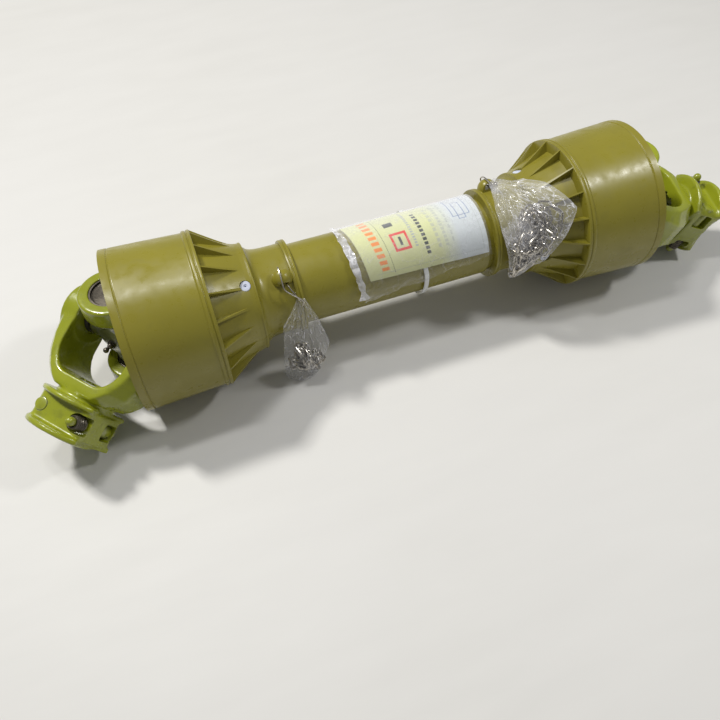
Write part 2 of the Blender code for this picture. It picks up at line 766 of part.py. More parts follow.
def build_joint(side, shaft):
    """The cross, the end yoke and everything on them, in the droop and swing they rest at."""
    cross_pivot = pivot(side + "_cross_pivot", shaft, Matrix.Rotation(-math.radians(DROOP[side]), 4, "Y"))
    yoke_pivot = pivot(side + "_yoke_pivot", cross_pivot, Matrix.Rotation(math.radians(SWING[side]), 4, "Z"))
    place(side + "_cross", cross(), bright_steel(), cross_pivot)
    place(side + "_grease_nipple", grease_nipple(), zinc_plate(), cross_pivot)
    place(side + "_end_yoke", end_yoke(), enamel(), yoke_pivot)
    cap, ring, seal = bearing_cap(), snap_ring(), cross_seal()
    for owner, axis, parent in (("end", "Z", yoke_pivot), ("tube", "Y", shaft)):
        for number, way in ((1, 1), (2, -1)):
            turn = ear_turn(axis, way)
            place(f"{side}_{owner}_bearing_cap_{number}", cap, enamel(), parent, turn)
            place(f"{side}_{owner}_snap_ring_{number}", ring, spring_steel(), parent, turn)
            place(f"{side}_{owner}_seal_{number}", seal, seal_rubber(), parent, turn)
    pin, spring = push_pin(), push_pin_spring()
    for number, way in ((1, 1), (2, -1)):
        place(f"{side}_push_pin_{number}", pin, enamel(), yoke_pivot, push_pin_turn(way))
        place(f"{side}_pin_spring_{number}", spring, spring_steel(), yoke_pivot, push_pin_turn(way))


def build_end(side, end, star_radius, star_end, neck_bore, bag_layer):
    angle, roll = LUG_ANGLES[side], SHAFT_ROLL
    if side == "right":
        angle, roll = 180 - angle, -roll
    shaft = pivot(side + "_shaft_pivot", end, Matrix.Rotation(math.radians(roll), 4, "X"))
    build_joint(side, shaft)
    place(side + "_tube_yoke", tube_yoke(star_radius), enamel(), shaft)
    place(side + "_roll_pin", roll_pin(), spring_steel(), shaft)
    tube_name = "inner_star_tube" if side == "left" else "outer_star_tube"
    place(tube_name, star_tube(star_radius, star_end), enamel(), shaft)
    place(side + "_guard_bell", guard_bell(neck_bore, angle), guard_plastic(), end)
    place(side + "_guard_bearing_ring", guard_bearing_ring(angle), nylon(), end)
    place(side + "_bag_tie", eyelet_tie(angle), zinc_plate(), end)
    place(side + "_chain_bag", chain_bag(bag_layer), clear_film(), end.parent)
    place(side + "_safety_chain", chain_bundle(bag_layer), zinc_plate(), end.parent)


def floor_centre():
    """The point of the floor below the middle of the whole object."""
    bpy.context.view_layer.update()
    points = [
        thing.matrix_world @ vertex.co
        for thing in bpy.data.objects if thing.type == "MESH" for vertex in thing.data.vertices
    ]
    low, high = ([limit(point[axis] for point in points) for axis in range(3)] for limit in (min, max))
    return Vector(((low[0] + high[0]) / 2, (low[1] + high[1]) / 2, low[2]))


def main():
    for thing in list(bpy.data.objects):
        bpy.data.objects.remove(thing)
    whole = pivot("whole_shaft")
    left = pivot("left_end", whole)
    half_turn = Matrix.Rotation(math.pi, 4, "Z")
    right = pivot("right_end", whole, Matrix.Translation((JOINT_SPACING, 0, 0)) @ half_turn)
    outer_star = STAR_R + STAR_CLEARANCE + STAR_WALL
    build_end("left", left, STAR_R, INNER_STAR_END, OUTER_GUARD_R + 0.00035, left_bag_layer)
    build_end("right", right, outer_star, OUTER_STAR_END, INNER_GUARD_R + 0.00035, right_bag_layer)
    place("outer_guard_tube", guard_tube(OUTER_GUARD_R, OUTER_GUARD_END), guard_plastic(), left)
    place("inner_guard_tube", guard_tube(INNER_GUARD_R, INNER_GUARD_END), guard_plastic(), right)
    place("manual_booklet", manual_booklet(), printed_paper(), left)
    place("cable_tie", cable_tie(), tie_plastic(), left)
    whole.location = -floor_centre()


main()
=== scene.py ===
"""Looks of the universal joint shaft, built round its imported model.

Each end has its own frame: the origin is its cross, +X points to the middle of the shaft, and +-Y
go through the ears of the tube yoke at no roll. All is modelled round the left cross and moved to
its place by HOME. Angles round the shaft are counted from -Y towards +Z. A profile is a list of
(station along X, radius). Lengths are in metres and angles in degrees.
"""

import json
import random
from math import asin, cos, degrees, pi, radians, sin, sqrt

import bmesh
import bpy
from mathutils import Matrix, Vector, noise

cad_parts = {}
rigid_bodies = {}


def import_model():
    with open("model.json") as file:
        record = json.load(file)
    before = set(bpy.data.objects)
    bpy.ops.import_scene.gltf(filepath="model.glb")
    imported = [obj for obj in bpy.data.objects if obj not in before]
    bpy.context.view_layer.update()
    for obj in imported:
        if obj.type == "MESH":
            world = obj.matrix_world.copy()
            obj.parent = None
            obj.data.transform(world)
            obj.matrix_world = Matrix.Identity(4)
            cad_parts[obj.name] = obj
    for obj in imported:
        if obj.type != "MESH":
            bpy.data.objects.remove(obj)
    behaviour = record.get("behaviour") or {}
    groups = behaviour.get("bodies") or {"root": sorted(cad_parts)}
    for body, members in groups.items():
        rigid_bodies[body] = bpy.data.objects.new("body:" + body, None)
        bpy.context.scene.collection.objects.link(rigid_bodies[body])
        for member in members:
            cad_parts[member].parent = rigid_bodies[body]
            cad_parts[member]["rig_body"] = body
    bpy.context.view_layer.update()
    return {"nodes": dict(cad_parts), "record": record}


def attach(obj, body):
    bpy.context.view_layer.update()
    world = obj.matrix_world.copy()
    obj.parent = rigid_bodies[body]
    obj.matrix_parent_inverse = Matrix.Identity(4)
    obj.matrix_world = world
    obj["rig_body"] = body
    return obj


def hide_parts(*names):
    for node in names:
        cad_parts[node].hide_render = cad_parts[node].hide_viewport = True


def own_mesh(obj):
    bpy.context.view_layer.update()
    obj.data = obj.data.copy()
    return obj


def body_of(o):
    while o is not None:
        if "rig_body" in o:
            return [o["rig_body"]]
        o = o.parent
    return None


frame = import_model()
joints = {joint["name"]: joint for joint in frame["record"]["behaviour"]["joints"]}
HOME = Matrix.Translation(joints["left_cross_hinge"]["pos_m"])

# The assembly
JOINT_SPACING = 0.534
GAP = 0.0003  # between parts that fit together
SHAFT_ROLL = -94.0
DROOP = {"left": 39.5, "right": 13.0}
SWING = {"left": -24.7, "right": 23.1}

# Cross and bearings
CAP_R = 0.0175
CAP_OUT = 0.053
CAP_IN = 0.0365
TRUNNION_R = 0.011
TRUNNION_OUT = 0.0485
EAR_IN = 0.037
EAR_OUT = 0.056
EAR_R = 0.028
ARM_OUT = 0.0551  # outer face of a fork's arm
SNAP_RING_R = 0.0183
SNAP_RING_WIDTH = 0.0016
SNAP_GROOVE_R = 0.0189

# End yoke and its push pins
FORK_BOTTOM = 0.058
FLANGE_R = 0.040
FLANGE_HALF = 0.031
INNER_FLANGE = (0.075, 0.080)
OUTER_FLANGE = (0.106, 0.1115)
HUB_END = 0.114
SPLINE_MAJOR_R = 0.0175
SPLINE_MINOR_R = 0.0150
PIN_STATION = 0.093
PIN_OFFSET = 0.021  # from the hub's axis
PIN_R = 0.0065
PIN_BACK = -0.028
PIN_SEAT = 0.016
PIN_TIP = 0.039
STEM_R = 0.0042
SPRING_R = 0.0062
SPRING_WIRE_R = 0.0010
SPRING_TURNS = 6

# Tube yoke and star tubes
TUBE_YOKE_BOTTOM = 0.070
TUBE_HUB_R = 0.0355
TUBE_HUB_END = 0.127
GUARD_GROOVE = (0.114, 0.1194)
GUARD_GROOVE_R = 0.0346
GUARD_COLLAR_R = 0.0385
ROLL_PIN_STATION = 0.096
ROLL_PIN_R = 0.005
STAR_R = 0.0245
STAR_DEPTH = 0.003
STAR_WALL = 0.0032
STAR_CLEARANCE = 0.0006

# Guard
MOUTH = -0.001
NECK_R = 0.0430
NECK_RING_R = 0.0458
TUBE_SEAT = 0.130
RIBS = 18
CONE = ((MOUTH + 0.084, 0.0660), (MOUTH + 0.120, 0.0530))  # its surface
RIB_TOPS = ((MOUTH + 0.084, 0.0762), (MOUTH + 0.121, 0.0540))  # what a bag rests on
WINDOW_R = 0.0052
LUG_ANGLES = {"left": 62.0, "right": 121.0}
EYELET_STATION = 0.152
EYELET_HALF = 0.010
EYELET_FOOT = 0.0436
EYELET_TOP = 0.0540
OUTER_GUARD_R = 0.0400
INNER_GUARD_R = 0.0371
GUARD_TUBE_WALL = 0.0024
OUTER_GUARD_END = 0.361
INNER_GUARD_END = 0.379
FLOOR = -0.079

# Bags and chains
BAG_LEVELS = 46  # from its lower end to its mouth
BAG_PLACES = 26  # across it
BAG_STEPS = 6  # pieces of a bag's back film across its width
# Station, angle and radius of each bag's tied mouth
BAG_MOUTHS = {"left": (0.163, 32.0, 0.0515), "right": (0.3855, 107.0, 0.0520)}
BAG_SEEDS = {"left": 3, "right": 8}
# Links of a chain, then its heap in the bag: middle level, half height and middle across
CHAINS = {"left": (84, 0.25, 0.19, 0.5), "right": (132, 0.33, 0.30, 0.38)}
LINK_LENGTH = 0.0130
LINK_WIDTH = 0.0062
LINK_WIRE_R = 0.00105

# Booklet and cable tie
BOOKLET = (0.223, 0.359)
BOOKLET_LEAN = 0.011  # how far its left end slants towards its lower edge
SLEEVE_FILM = 0.00012
TIE_STATION = 0.2913
TIE_WIDTH = 0.0046
TIE_HIDDEN = (22, 128)  # angles between which the strap is under the booklet
TIE_HEAD_ANGLE = -125

# Fineness of the meshes
ROUND = 128  # segments of a large round
SMALL_ROUND = 56
FORGED_VOXEL = 0.0011


# Solids, as meshes

def placed(name, data):
    thing = bpy.data.objects.new(name, data)
    bpy.context.scene.collection.objects.link(thing)
    return thing


def new_mesh(points, faces):
    mesh = bpy.data.meshes.new("solid")
    mesh.from_pydata([tuple(point) for point in points], [], faces)
    work = bmesh.new()
    work.from_mesh(mesh)
    bmesh.ops.recalc_face_normals(work, faces=work.faces)
    work.to_mesh(mesh)
    work.free()
    return mesh


def loft(loops, closed=False):
    """The solid through rings of as many points each. If closed, its last ring joins its first."""
    count = len(loops[0])
    points = [point for loop in loops for point in loop]
    faces = []
    for ring in range(len(loops) if closed else len(loops) - 1):
        here, there = ring * count, (ring + 1) % len(loops) * count
        for step in range(count):
            after = (step + 1) % count
            faces.append((here + step, here + after, there + after, there + step))
    if not closed:
        faces.append(tuple(range(count)))
        faces.append(tuple(range(len(points) - count, len(points))))
    return new_mesh(points, faces)


def shares(count):
    """Even steps from 0 to 1."""
    return [step / count for step in range(count + 1)]


def full_turn(count):
    return [2 * pi * step / count for step in range(count)]


def polygon(radius, count):
    return [(radius * cos(turn), radius * sin(turn)) for turn in full_turn(count)]


def turned(profile, count=SMALL_ROUND, closed=False):
    return loft([[(x, y, z) for y, z in polygon(radius, count)] for x, radius in profile], closed)


def turned_ring(profile, count=ROUND):
    return turned(profile, count, closed=True)


def eased(outline, radius, steps=3, closed=True):
    """An outline with its corners rounded off."""
    result = []
    count = len(outline)
    for index, corner in enumerate(outline):
        if not closed and index in (0, count - 1):
            result.append(corner)
            continue
        here = Vector(corner)
        before, after = Vector(outline[index - 1]), Vector(outline[(index + 1) % count])
        start = here + (before - here) * min(0.45, radius / max((before - here).length, 1e-9))
        end = here + (after - here) * min(0.45, radius / max((after - here).length, 1e-9))
        for t in shares(steps):
            point = start * (1 - t) ** 2 + here * 2 * t * (1 - t) + end * t**2
            result.append(tuple(point))
    return result


def prism(outline, low, high, axis):
    """The solid over a flat outline, from low to high along an axis."""
    index = "XYZ".index(axis)
    return loft([
        [(*pair[:index], level, *pair[index:]) for pair in outline] for level in (low, high)])


def shift(x, y=0.0, z=0.0):
    return Matrix.Translation((x, y, z))


def spin(angle, axis):
    return Matrix.Rotation(radians(angle), 4, axis)


def moved(mesh, matrix):
    copy = mesh.copy()
    copy.transform(matrix)
    return copy


def merged(meshes):
    work = bmesh.new()
    for mesh in meshes:
        work.from_mesh(mesh)
    together = bpy.data.meshes.new("solid")
    work.to_mesh(together)
    work.free()
    return together


def evaluated(mesh, set_up):
    """The mesh after the modifiers that set_up puts on an object of it."""
    body = placed("body", mesh)
    helpers = set_up(body) or []
    graph = bpy.context.evaluated_depsgraph_get()
    result = bpy.data.meshes.new_from_object(body.evaluated_get(graph))
    for thing in [body, *helpers]:
        bpy.data.objects.remove(thing)
    return result


def boolean(operation, mesh, *others):
    def set_up(body):
        tools = []
        for other in others:
            tool = placed("tool", other)
            modifier = body.modifiers.new(operation, "BOOLEAN")
            modifier.operation = operation
            modifier.solver = "MANIFOLD"
            modifier.object = tool
            tools.append(tool)
        return tools
    return evaluated(mesh, set_up)


def joined(mesh, *others):
    return boolean("UNION", mesh, *others)


def cut(mesh, *others):
    return boolean("DIFFERENCE", mesh, *others)


def forged(mesh, voxel=FORGED_VOXEL, passes=14):
    """One skin round overlapping solids, with its edges softened as on a forging."""
    def set_up(body):
        remesh = body.modifiers.new("skin", "REMESH")
        remesh.mode = "VOXEL"
        remesh.voxel_size = voxel
        soften = body.modifiers.new("soften", "SMOOTH")
        soften.factor = 0.5
        soften.iterations = passes
    return evaluated(mesh, set_up)


def arc(centre, radii, start, end, steps):
    angles = [radians(start + (end - start) * step / steps) for step in range(steps + 1)]
    return [(centre[0] + radii[0] * cos(a), centre[1] + radii[1] * sin(a)) for a in angles]


def around(angle, radius, x):
    turn = radians(angle)
    return Vector((x, -radius * cos(turn), radius * sin(turn)))


def wire(path, radius, sides=8, closed=False):
    """A round wire along a path."""
    count = len(path)
    loops = []
    normal = None
    for index, centre in enumerate(path):
        before = path[index - 1] if closed or index else path[0]
        after = path[(index + 1) % count] if closed or index < count - 1 else path[-1]
        along = (after - before).normalized()
        if normal is None:
            normal = along.orthogonal().normalized()
        normal = (normal - along * normal.dot(along)).normalized()
        across = along.cross(normal)
        loops.append([
            centre + radius * (cos(turn) * normal + sin(turn) * across)
            for turn in full_turn(sides)
        ])
    if closed:  # renumber the rings little by little, so that the last one meets the first
        gaps = [(loops[-1][0] - point).length for point in loops[0]]
        offset = gaps.index(min(gaps))
        for index, loop in enumerate(loops):
            turn = round(offset * index / (count - 1)) % sides
            loops[index] = loop[-turn:] + loop[:-turn]
    return loft(loops, closed)


def smooth_path(points, steps):
    """A curve through the points."""
    path = []
    ends = [points[0], *points, points[-1]]
    for p0, p1, p2, p3 in zip(ends, ends[1:], ends[2:], ends[3:]):
        for t in shares(steps)[:-1]:
            path.append(0.5 * (
                2 * p1 + (p2 - p0) * t + (2 * p0 - 5 * p1 + 4 * p2 - p3) * t**2
                + (3 * p1 - p0 - 3 * p2 + p3) * t**3))
    return path + [points[-1]]


# Materials

def feed(tree, made, inputs):
    """Set or link the inputs of a node."""
    for key, value in inputs.items():
        if isinstance(value, bpy.types.NodeSocket):
            tree.links.new(value, made.inputs[key])
        else:
            made.inputs[key].default_value = value


def node(tree, kind, inputs=None, **settings):
    made = tree.nodes.new("ShaderNode" + kind)
    for key, value in settings.items():
        setattr(made, key, value)
    feed(tree, made, inputs or {})
    return made


def maths(tree, operation, first, second=0.0, third=0.0):
    return node(tree, "Math", {0: first, 1: second, 2: third}, operation=operation).outputs[0]


def mixed(tree, factor, first, second):
    inputs = {0: factor, 6: first, 7: second}
    return node(tree, "Mix", inputs, data_type="RGBA").outputs[2]


def spread(tree, value, low, high, to_low=0.0, to_high=1.0):
    inputs = {0: value, 1: low, 2: high, 3: to_low, 4: to_high}
    return node(tree, "MapRange", inputs).outputs[0]


def grain(tree, scale, detail=3.0, stretch=(1.0, 1.0, 1.0)):
    place = node(tree, "TexCoord").outputs["Object"]
    mapping = node(tree, "Mapping", {"Vector": place, "Scale": stretch}).outputs[0]
    inputs = {"Vector": mapping, "Scale": scale, "Detail": detail}
    return node(tree, "TexNoise", inputs).outputs[0]


def new_material(name):
    material = bpy.data.materials.new(name)
    material.use_nodes = True
    return material, material.node_tree, material.node_tree.nodes["Principled BSDF"]


def shade(colour, share):
    return (*(channel * share for channel in colour), 1.0)


def surface(name, colour, roughness, metallic=0.0, vary=0.12, bump=0.15, fine=700.0, wear=None,
            coat=0.0, dirt=0.0):
    """A solid finish: slow colour change, fine bump, uneven gloss, and edges that have worn."""
    material, tree, shader = new_material(name)
    broad = grain(tree, 16.0, 4.0)
    close = grain(tree, fine, 3.0)
    blotch = grain(tree, 95.0, 5.0)
    slow = spread(tree, broad, 0.32, 0.68)
    base = mixed(tree, slow, shade(colour, 1 - vary), shade(colour, 1 + vary))
    if dirt:
        soil = maths(tree, "MULTIPLY", spread(tree, blotch, 0.56, 0.72), dirt)
        base = mixed(tree, soil, base, shade(colour, 0.35))
    rough = spread(tree, blotch, 0.3, 0.7, roughness * 0.75, min(1.0, roughness * 1.35))
    if wear:
        edge = node(tree, "NewGeometry").outputs["Pointiness"]
        patchy = spread(tree, blotch, 0.44, 0.62)
        worn = maths(tree, "MULTIPLY", spread(tree, edge, 0.53, 0.60), patchy)
        worn = maths(tree, "MULTIPLY", worn, WEAR_AMOUNT)
        base = mixed(tree, worn, base, (*wear, 1.0))
    height = maths(tree, "MULTIPLY_ADD", blotch, 1.5, close)
    normal = node(tree, "Bump", {"Strength": bump, "Distance": 0.0006, "Height": height}).outputs[0]
    feed(tree, shader, {
        "Base Color": base, "Roughness": rough, "Metallic": metallic, "Normal": normal,
        "Coat Weight": coat, "Coat Roughness": 0.12})
    return material


def film_material(name, clear, haze, line_share, edge=0.5, mouth=None):
    """Clear film: seen through where it faces the eye, white where it turns away or is creased.

    Its creases run out from its mouth, where it has one.
    """
    material, tree, shader = new_material(name)
    facing = node(tree, "LayerWeight", {"Blend": 0.35}).outputs["Facing"]
    if mouth:
        place = node(tree, "TexCoord").outputs["Object"]
        ray = node(tree, "VectorMath", {0: place, 1: mouth}, operation="SUBTRACT").outputs[0]
        ray = node(tree, "VectorMath", {0: ray}, operation="NORMALIZE").outputs[0]
        inputs = {0: place, 1: (3.0, 3.0, 3.0), 2: ray}
        ray = node(tree, "VectorMath", inputs, operation="MULTIPLY_ADD").outputs[0]
        crease = node(tree, "TexNoise", {"Vector": ray, "Scale": 9.0, "Detail": 1.5}).outputs[0]
    else:
        crease = grain(tree, 62.0, 2.0, (1.0, 1.0, 0.45))
    line = maths(tree, "ABSOLUTE", maths(tree, "SUBTRACT", crease, 0.5))
    streak = spread(tree, line, 0.0, 0.020, line_share, 0.0)
    patch = spread(tree, grain(tree, 30.0, 3.0), 0.52, 0.62, 0.0, haze)
    alpha = maths(tree, "ADD", spread(tree, facing, 0.15, 1.0, clear, edge), streak)
    alpha = maths(tree, "MINIMUM", maths(tree, "ADD", alpha, patch), 0.80)
    normal = node(tree, "Bump", {"Strength": 0.5, "Distance": 0.003, "Height": crease}).outputs[0]
    tint = (0.86, 0.86, 0.90, 1.0)
    feed(tree, shader, {
        "Base Color": tint, "Roughness": 0.12, "Alpha": alpha, "Normal": normal,
        "Specular IOR Level": 1.0})
    return material


def print_material():
    """The booklet's cover: plain blocks, bars and dotted rules in place of its printing."""
    material, tree, shader = new_material("print_look")
    parts = node(tree, "SeparateXYZ", {0: node(tree, "UVMap", uv_map="sheet").outputs[0]})
    u, v = parts.outputs[0], parts.outputs[1]
    speckle = grain(tree, 500.0)
    yellow = mixed(tree, speckle, (0.62, 0.64, 0.32, 1), (0.69, 0.71, 0.40, 1))
    white = mixed(tree, speckle, (0.60, 0.64, 0.64, 1), (0.66, 0.70, 0.72, 1))
    colour = mixed(tree, spread(tree, u, 0.60, 0.78), yellow, white)

    def block(u0, u1, v0, v1):
        wide = maths(tree, "COMPARE", u, (u0 + u1) / 2, (u1 - u0) / 2)
        high = maths(tree, "COMPARE", v, (v0 + v1) / 2, (v1 - v0) / 2)
        return maths(tree, "MULTIPLY", wide, high)

    def outline(u0, u1, v0, v1, wide=0.006, high=0.0078):
        hole = block(u0 + wide, u1 - wide, v0 + high, v1 - high)
        return maths(tree, "SUBTRACT", block(u0, u1, v0, v1), hole)

    def row(place, along, count, share):
        """A block cut into equal bars or dots."""
        phase = maths(tree, "FRACT", maths(tree, "MULTIPLY", along, count))
        return maths(tree, "MULTIPLY", block(*place), maths(tree, "LESS_THAN", phase, share))

    orange, red, blue = (0.85, 0.28, 0.06), (0.75, 0.05, 0.04), (0.20, 0.26, 0.42)
    black, grey = (0.05, 0.06, 0.05), (0.42, 0.45, 0.42)
    prints = [
        (row((0.115, 0.175, 0.10, 0.96), v, 11.0, 0.58), orange),
        (row((0.208, 0.214, 0.05, 0.97), v, 40.0, 0.5), black),
        (outline(0.27, 0.40, 0.30, 0.56, 0.018, 0.035), red),
        (block(0.325, 0.345, 0.37, 0.49), black),
        (block(0.27, 0.34, 0.68, 0.76), black),
        (row((0.43, 0.452, 0.30, 0.92), v, 26.0, 0.62), grey),
        (row((0.500, 0.530, 0.16, 0.80), v, 17.0, 0.68), black),
    ]
    for low, high, count in ((0.60, 0.625, 14.0), (0.66, 0.685, 19.0), (0.72, 0.735, 12.0)):
        faint = maths(tree, "MULTIPLY", row((low, high, 0.22, 0.86), v, count, 0.7), 0.55)
        prints.append((faint, grey))
    prints += [
        (outline(0.79, 0.93, 0.55, 0.93), blue),
        (outline(0.83, 0.89, 0.50, 0.80), blue),
        (row((0.06, 0.96, 0.066, 0.074), u, 62.0, 0.5), grey),
        (row((0.957, 0.963, 0.07, 0.95), v, 48.0, 0.5), grey),
    ]
    for mask, tint in prints:
        colour = mixed(tree, mask, colour, (*tint, 1))
    wave = grain(tree, 40.0, 2.0)
    normal = node(tree, "Bump", {"Strength": 0.15, "Distance": 0.001, "Height": wave}).outputs[0]
    rough = spread(tree, speckle, 0.3, 0.7, 0.42, 0.6)
    feed(tree, shader, {"Base Color": colour, "Roughness": rough, "Normal": normal})
    return material


def mouth_place(side):
    station, angle, radius = BAG_MOUTHS[side]
    return tuple(HOME @ around(angle, radius, station))


WEAR_AMOUNT = 0.75
GREEN = (0.285, 0.315, 0.014)
OLIVE = (0.240, 0.210, 0.024)
LOOKS = {
    "green_enamel": surface("enamel_look", GREEN, 0.24, vary=0.10, bump=0.16, fine=420.0,
                            wear=(0.72, 0.74, 0.50), coat=0.5, dirt=0.35),
    "guard_plastic": surface("guard_look", OLIVE, 0.31, vary=0.06, bump=0.025, fine=900, dirt=0.1),
    "bright_steel": surface("steel_look", (0.50, 0.50, 0.48), 0.32, 1.0, bump=0.12, dirt=0.4),
    "spring_steel": surface("dark_steel_look", (0.17, 0.15, 0.12), 0.30, 0.9, bump=0.15, dirt=0.3),
    "white_nylon": surface("nylon_look", (0.62, 0.66, 0.78), 0.45, bump=0.06),
    "seal_rubber": surface("rubber_look", (0.03, 0.025, 0.02), 0.65, bump=0.25),
    "zinc_plate": surface("zinc_look", (0.52, 0.49, 0.44), 0.24, 1.0, bump=0.1, vary=0.3, dirt=0.7),
    "tie_plastic": surface("tie_look", (0.78, 0.79, 0.78), 0.35, bump=0.05),
    "left_film": film_material("left_film_look", 0.05, 0.08, 0.45, 0.42, mouth_place("left")),
    "right_film": film_material("right_film_look", 0.10, 0.15, 0.55, 0.55, mouth_place("right")),
    "sleeve_film": film_material("sleeve_look", 0.04, 0.03, 0.10),
    "sleeve_gather_film": film_material("gather_look", 0.20, 0.25, 0.50, 0.70),
    "printed_paper": print_material(),
}


def show(name, mesh, slot, part=None, matrix=None, body=None, sharp=34.0, look=None):
    """A piece of the object, which stands for a CAD node or joins a body."""
    mesh = moved(mesh, HOME @ (matrix or Matrix.Identity(4)))
    thing = placed(name, mesh)
    mesh.materials.clear()
    mesh.materials.append(LOOKS[look or slot])
    mesh.shade_smooth()
    mesh.set_sharp_from_angle(angle=radians(sharp))
    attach(thing, body or body_of(frame["nodes"][part])[0])
    if part:
        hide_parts(part)
    return thing


# Bearings of a cross

def ear_turn(axis, side):
    if axis == "Y":
        return spin(side * 90, "Z")
    return spin(-side * 90, "Y")


def bearing_cap():
    inside = TRUNNION_R + 0.0004
    profile = eased([
        (CAP_OUT - 0.0003, 0.0138), (CAP_OUT - 0.0003, 0.0145), (CAP_OUT, 0.0152), (CAP_OUT, CAP_R),
        (CAP_IN, CAP_R), (CAP_IN, inside), (TRUNNION_OUT + GAP, inside),
    ], 0.0007, closed=False)
    return turned(profile)


def cross_seal():
    return turned_ring(eased([
        (CAP_IN - 0.0040, TRUNNION_R + 0.0004), (CAP_IN - 0.0040, 0.0155),
        (CAP_IN - GAP, 0.0165), (CAP_IN - GAP, TRUNNION_R + 0.0004),
    ], 0.0008), SMALL_ROUND)


def snap_ring():
    """An open ring with a pierced eye at each end."""
    low, high = CAP_OUT + GAP, CAP_OUT + GAP + SNAP_RING_WIDTH
    opening, steps = 34.0, 44
    inner, outer = SNAP_RING_R - 0.0022, SNAP_RING_R
    rim = arc((0, 0), (outer, outer), opening / 2, 360 - opening / 2, steps)
    bore = arc((0, 0), (inner, inner), 360 - opening / 2, opening / 2, steps)
    ring = prism(rim + bore, low, high, "X")
    eye_r, hole_r = 0.0024, 0.0011
    half = radians(opening / 2 + 3)
    reach = inner - 0.0012
    centres = [(reach * cos(half), way * reach * sin(half)) for way in (1, -1)]
    eyes = [prism(arc(centre, (eye_r, eye_r), 0, 345, 23), low, high, "X") for centre in centres]
    holes = [
        prism(arc(centre, (hole_r, hole_r), 0, 330, 11), low - 0.001, high + 0.001, "X")
        for centre in centres]
    return cut(joined(ring, *eyes), *holes)


def cross():
    half = [
        (0.0310, 0.0150), (0.0315, TRUNNION_R), (TRUNNION_OUT - 0.0008, TRUNNION_R),
        (TRUNNION_OUT, TRUNNION_R - 0.0008),
    ]
    arm = turned([(-x, radius) for x, radius in reversed(half)] + half)
    arms = [moved(arm, spin(90, axis)) for axis in "ZY"]
    middle = turned([(-0.0180, 0.0070), (-0.0155, 0.0190), (0.0162, 0.0190)])
    hole = turned([(-0.025, 0.0034), (-0.010, 0.0034)], 24)
    return cut(forged(merged([*arms, middle]), 0.0009, 8), hole)


def grease_nipple():
    """A hexagon body and a ball end."""
    body = turned([(-0.0105, 0.0028), (-0.0180, 0.0028)], 24)
    nut = prism(eased(polygon(0.0044, 6), 0.0004, 2), -0.0205, -0.0178, "X")
    tip = turned([(-0.0203, 0.0028), (-0.0222, 0.0026), (-0.0236, 0.0016), (-0.0246, 0.0016)] + [
        (x, max(0.0002, radius)) for x, radius in arc((-0.0268, 0), (0.0027, 0.0027), 40, 180, 8)
    ], 24)
    return joined(joined(body, nut), tip)


# Yokes

def four_corners(corner):
    """The outline that repeats its first corner in the other three."""
    half = corner + [(-y, z) for y, z in reversed(corner)]
    return half + [(-y, -z) for y, z in half]


def octagon(x, half_y, half_z, chamfer):
    corner = [(half_y, half_z - chamfer), (half_y - chamfer, half_z)]
    return [(x, y, z) for y, z in four_corners(corner)]


def rounded_square(half_y, half_z, radius, steps=8):
    return four_corners(arc((half_y - radius, half_z - radius), (radius, radius), 0, 90, steps))


def fork_opening(straight, corner, bottom):
    """The space between two ears, as (depth, width)."""
    bend = arc((straight, EAR_IN - corner), (bottom - straight, corner), 90, 0, 14)
    side = [(-0.035, EAR_IN)] + bend
    return side + [(depth, -width) for depth, width in reversed(side)]


def ear_bosses(axis):
    boss = turned([(EAR_IN - 0.0008, EAR_R), (EAR_OUT, EAR_R)])
    return [moved(boss, ear_turn(axis, side)) for side in (1, -1)]


def ear_bore():
    wall = CAP_R + GAP
    groove = CAP_OUT + 0.0001
    groove_end = CAP_OUT + SNAP_RING_WIDTH + 2 * GAP
    return turned([
        (EAR_IN - 0.010, wall), (groove, wall), (groove, SNAP_GROOVE_R),
        (groove_end, SNAP_GROOVE_R), (groove_end, wall), (EAR_OUT - 0.0006, wall),
        (EAR_OUT + 0.0010, wall + 0.0016), (EAR_OUT + 0.005, wall + 0.0016),
    ], 72)


def spline_outline():
    outline = []
    for tooth in range(6):
        for turn in (-14, 0, 14, 16, 23, 30, 37, 44):
            radius = SPLINE_MINOR_R if turn < 15 else SPLINE_MAJOR_R
            angle = radians(60 * tooth + turn)
            outline.append((radius * cos(angle), radius * sin(angle)))
    return outline


def flange_outline():
    """A disc with a hollow scooped from two sides, which leaves four horns."""
    reach = degrees(asin(FLANGE_HALF / FLANGE_R))
    lobe = arc((0, 0), (FLANGE_R, FLANGE_R), -reach, reach, 22)
    end_y, end_z = lobe[-1]
    half = lobe + [
        (end_y * (1 - 2 * share), end_z - 0.0052 * sin(pi * share)) for share in shares(12)[1:-1]]
    return half + [(-y, -z) for y, z in half]


def push_pin_turn(side):
    return shift(-PIN_STATION, 0, side * PIN_OFFSET) @ spin(side * 90, "Z")


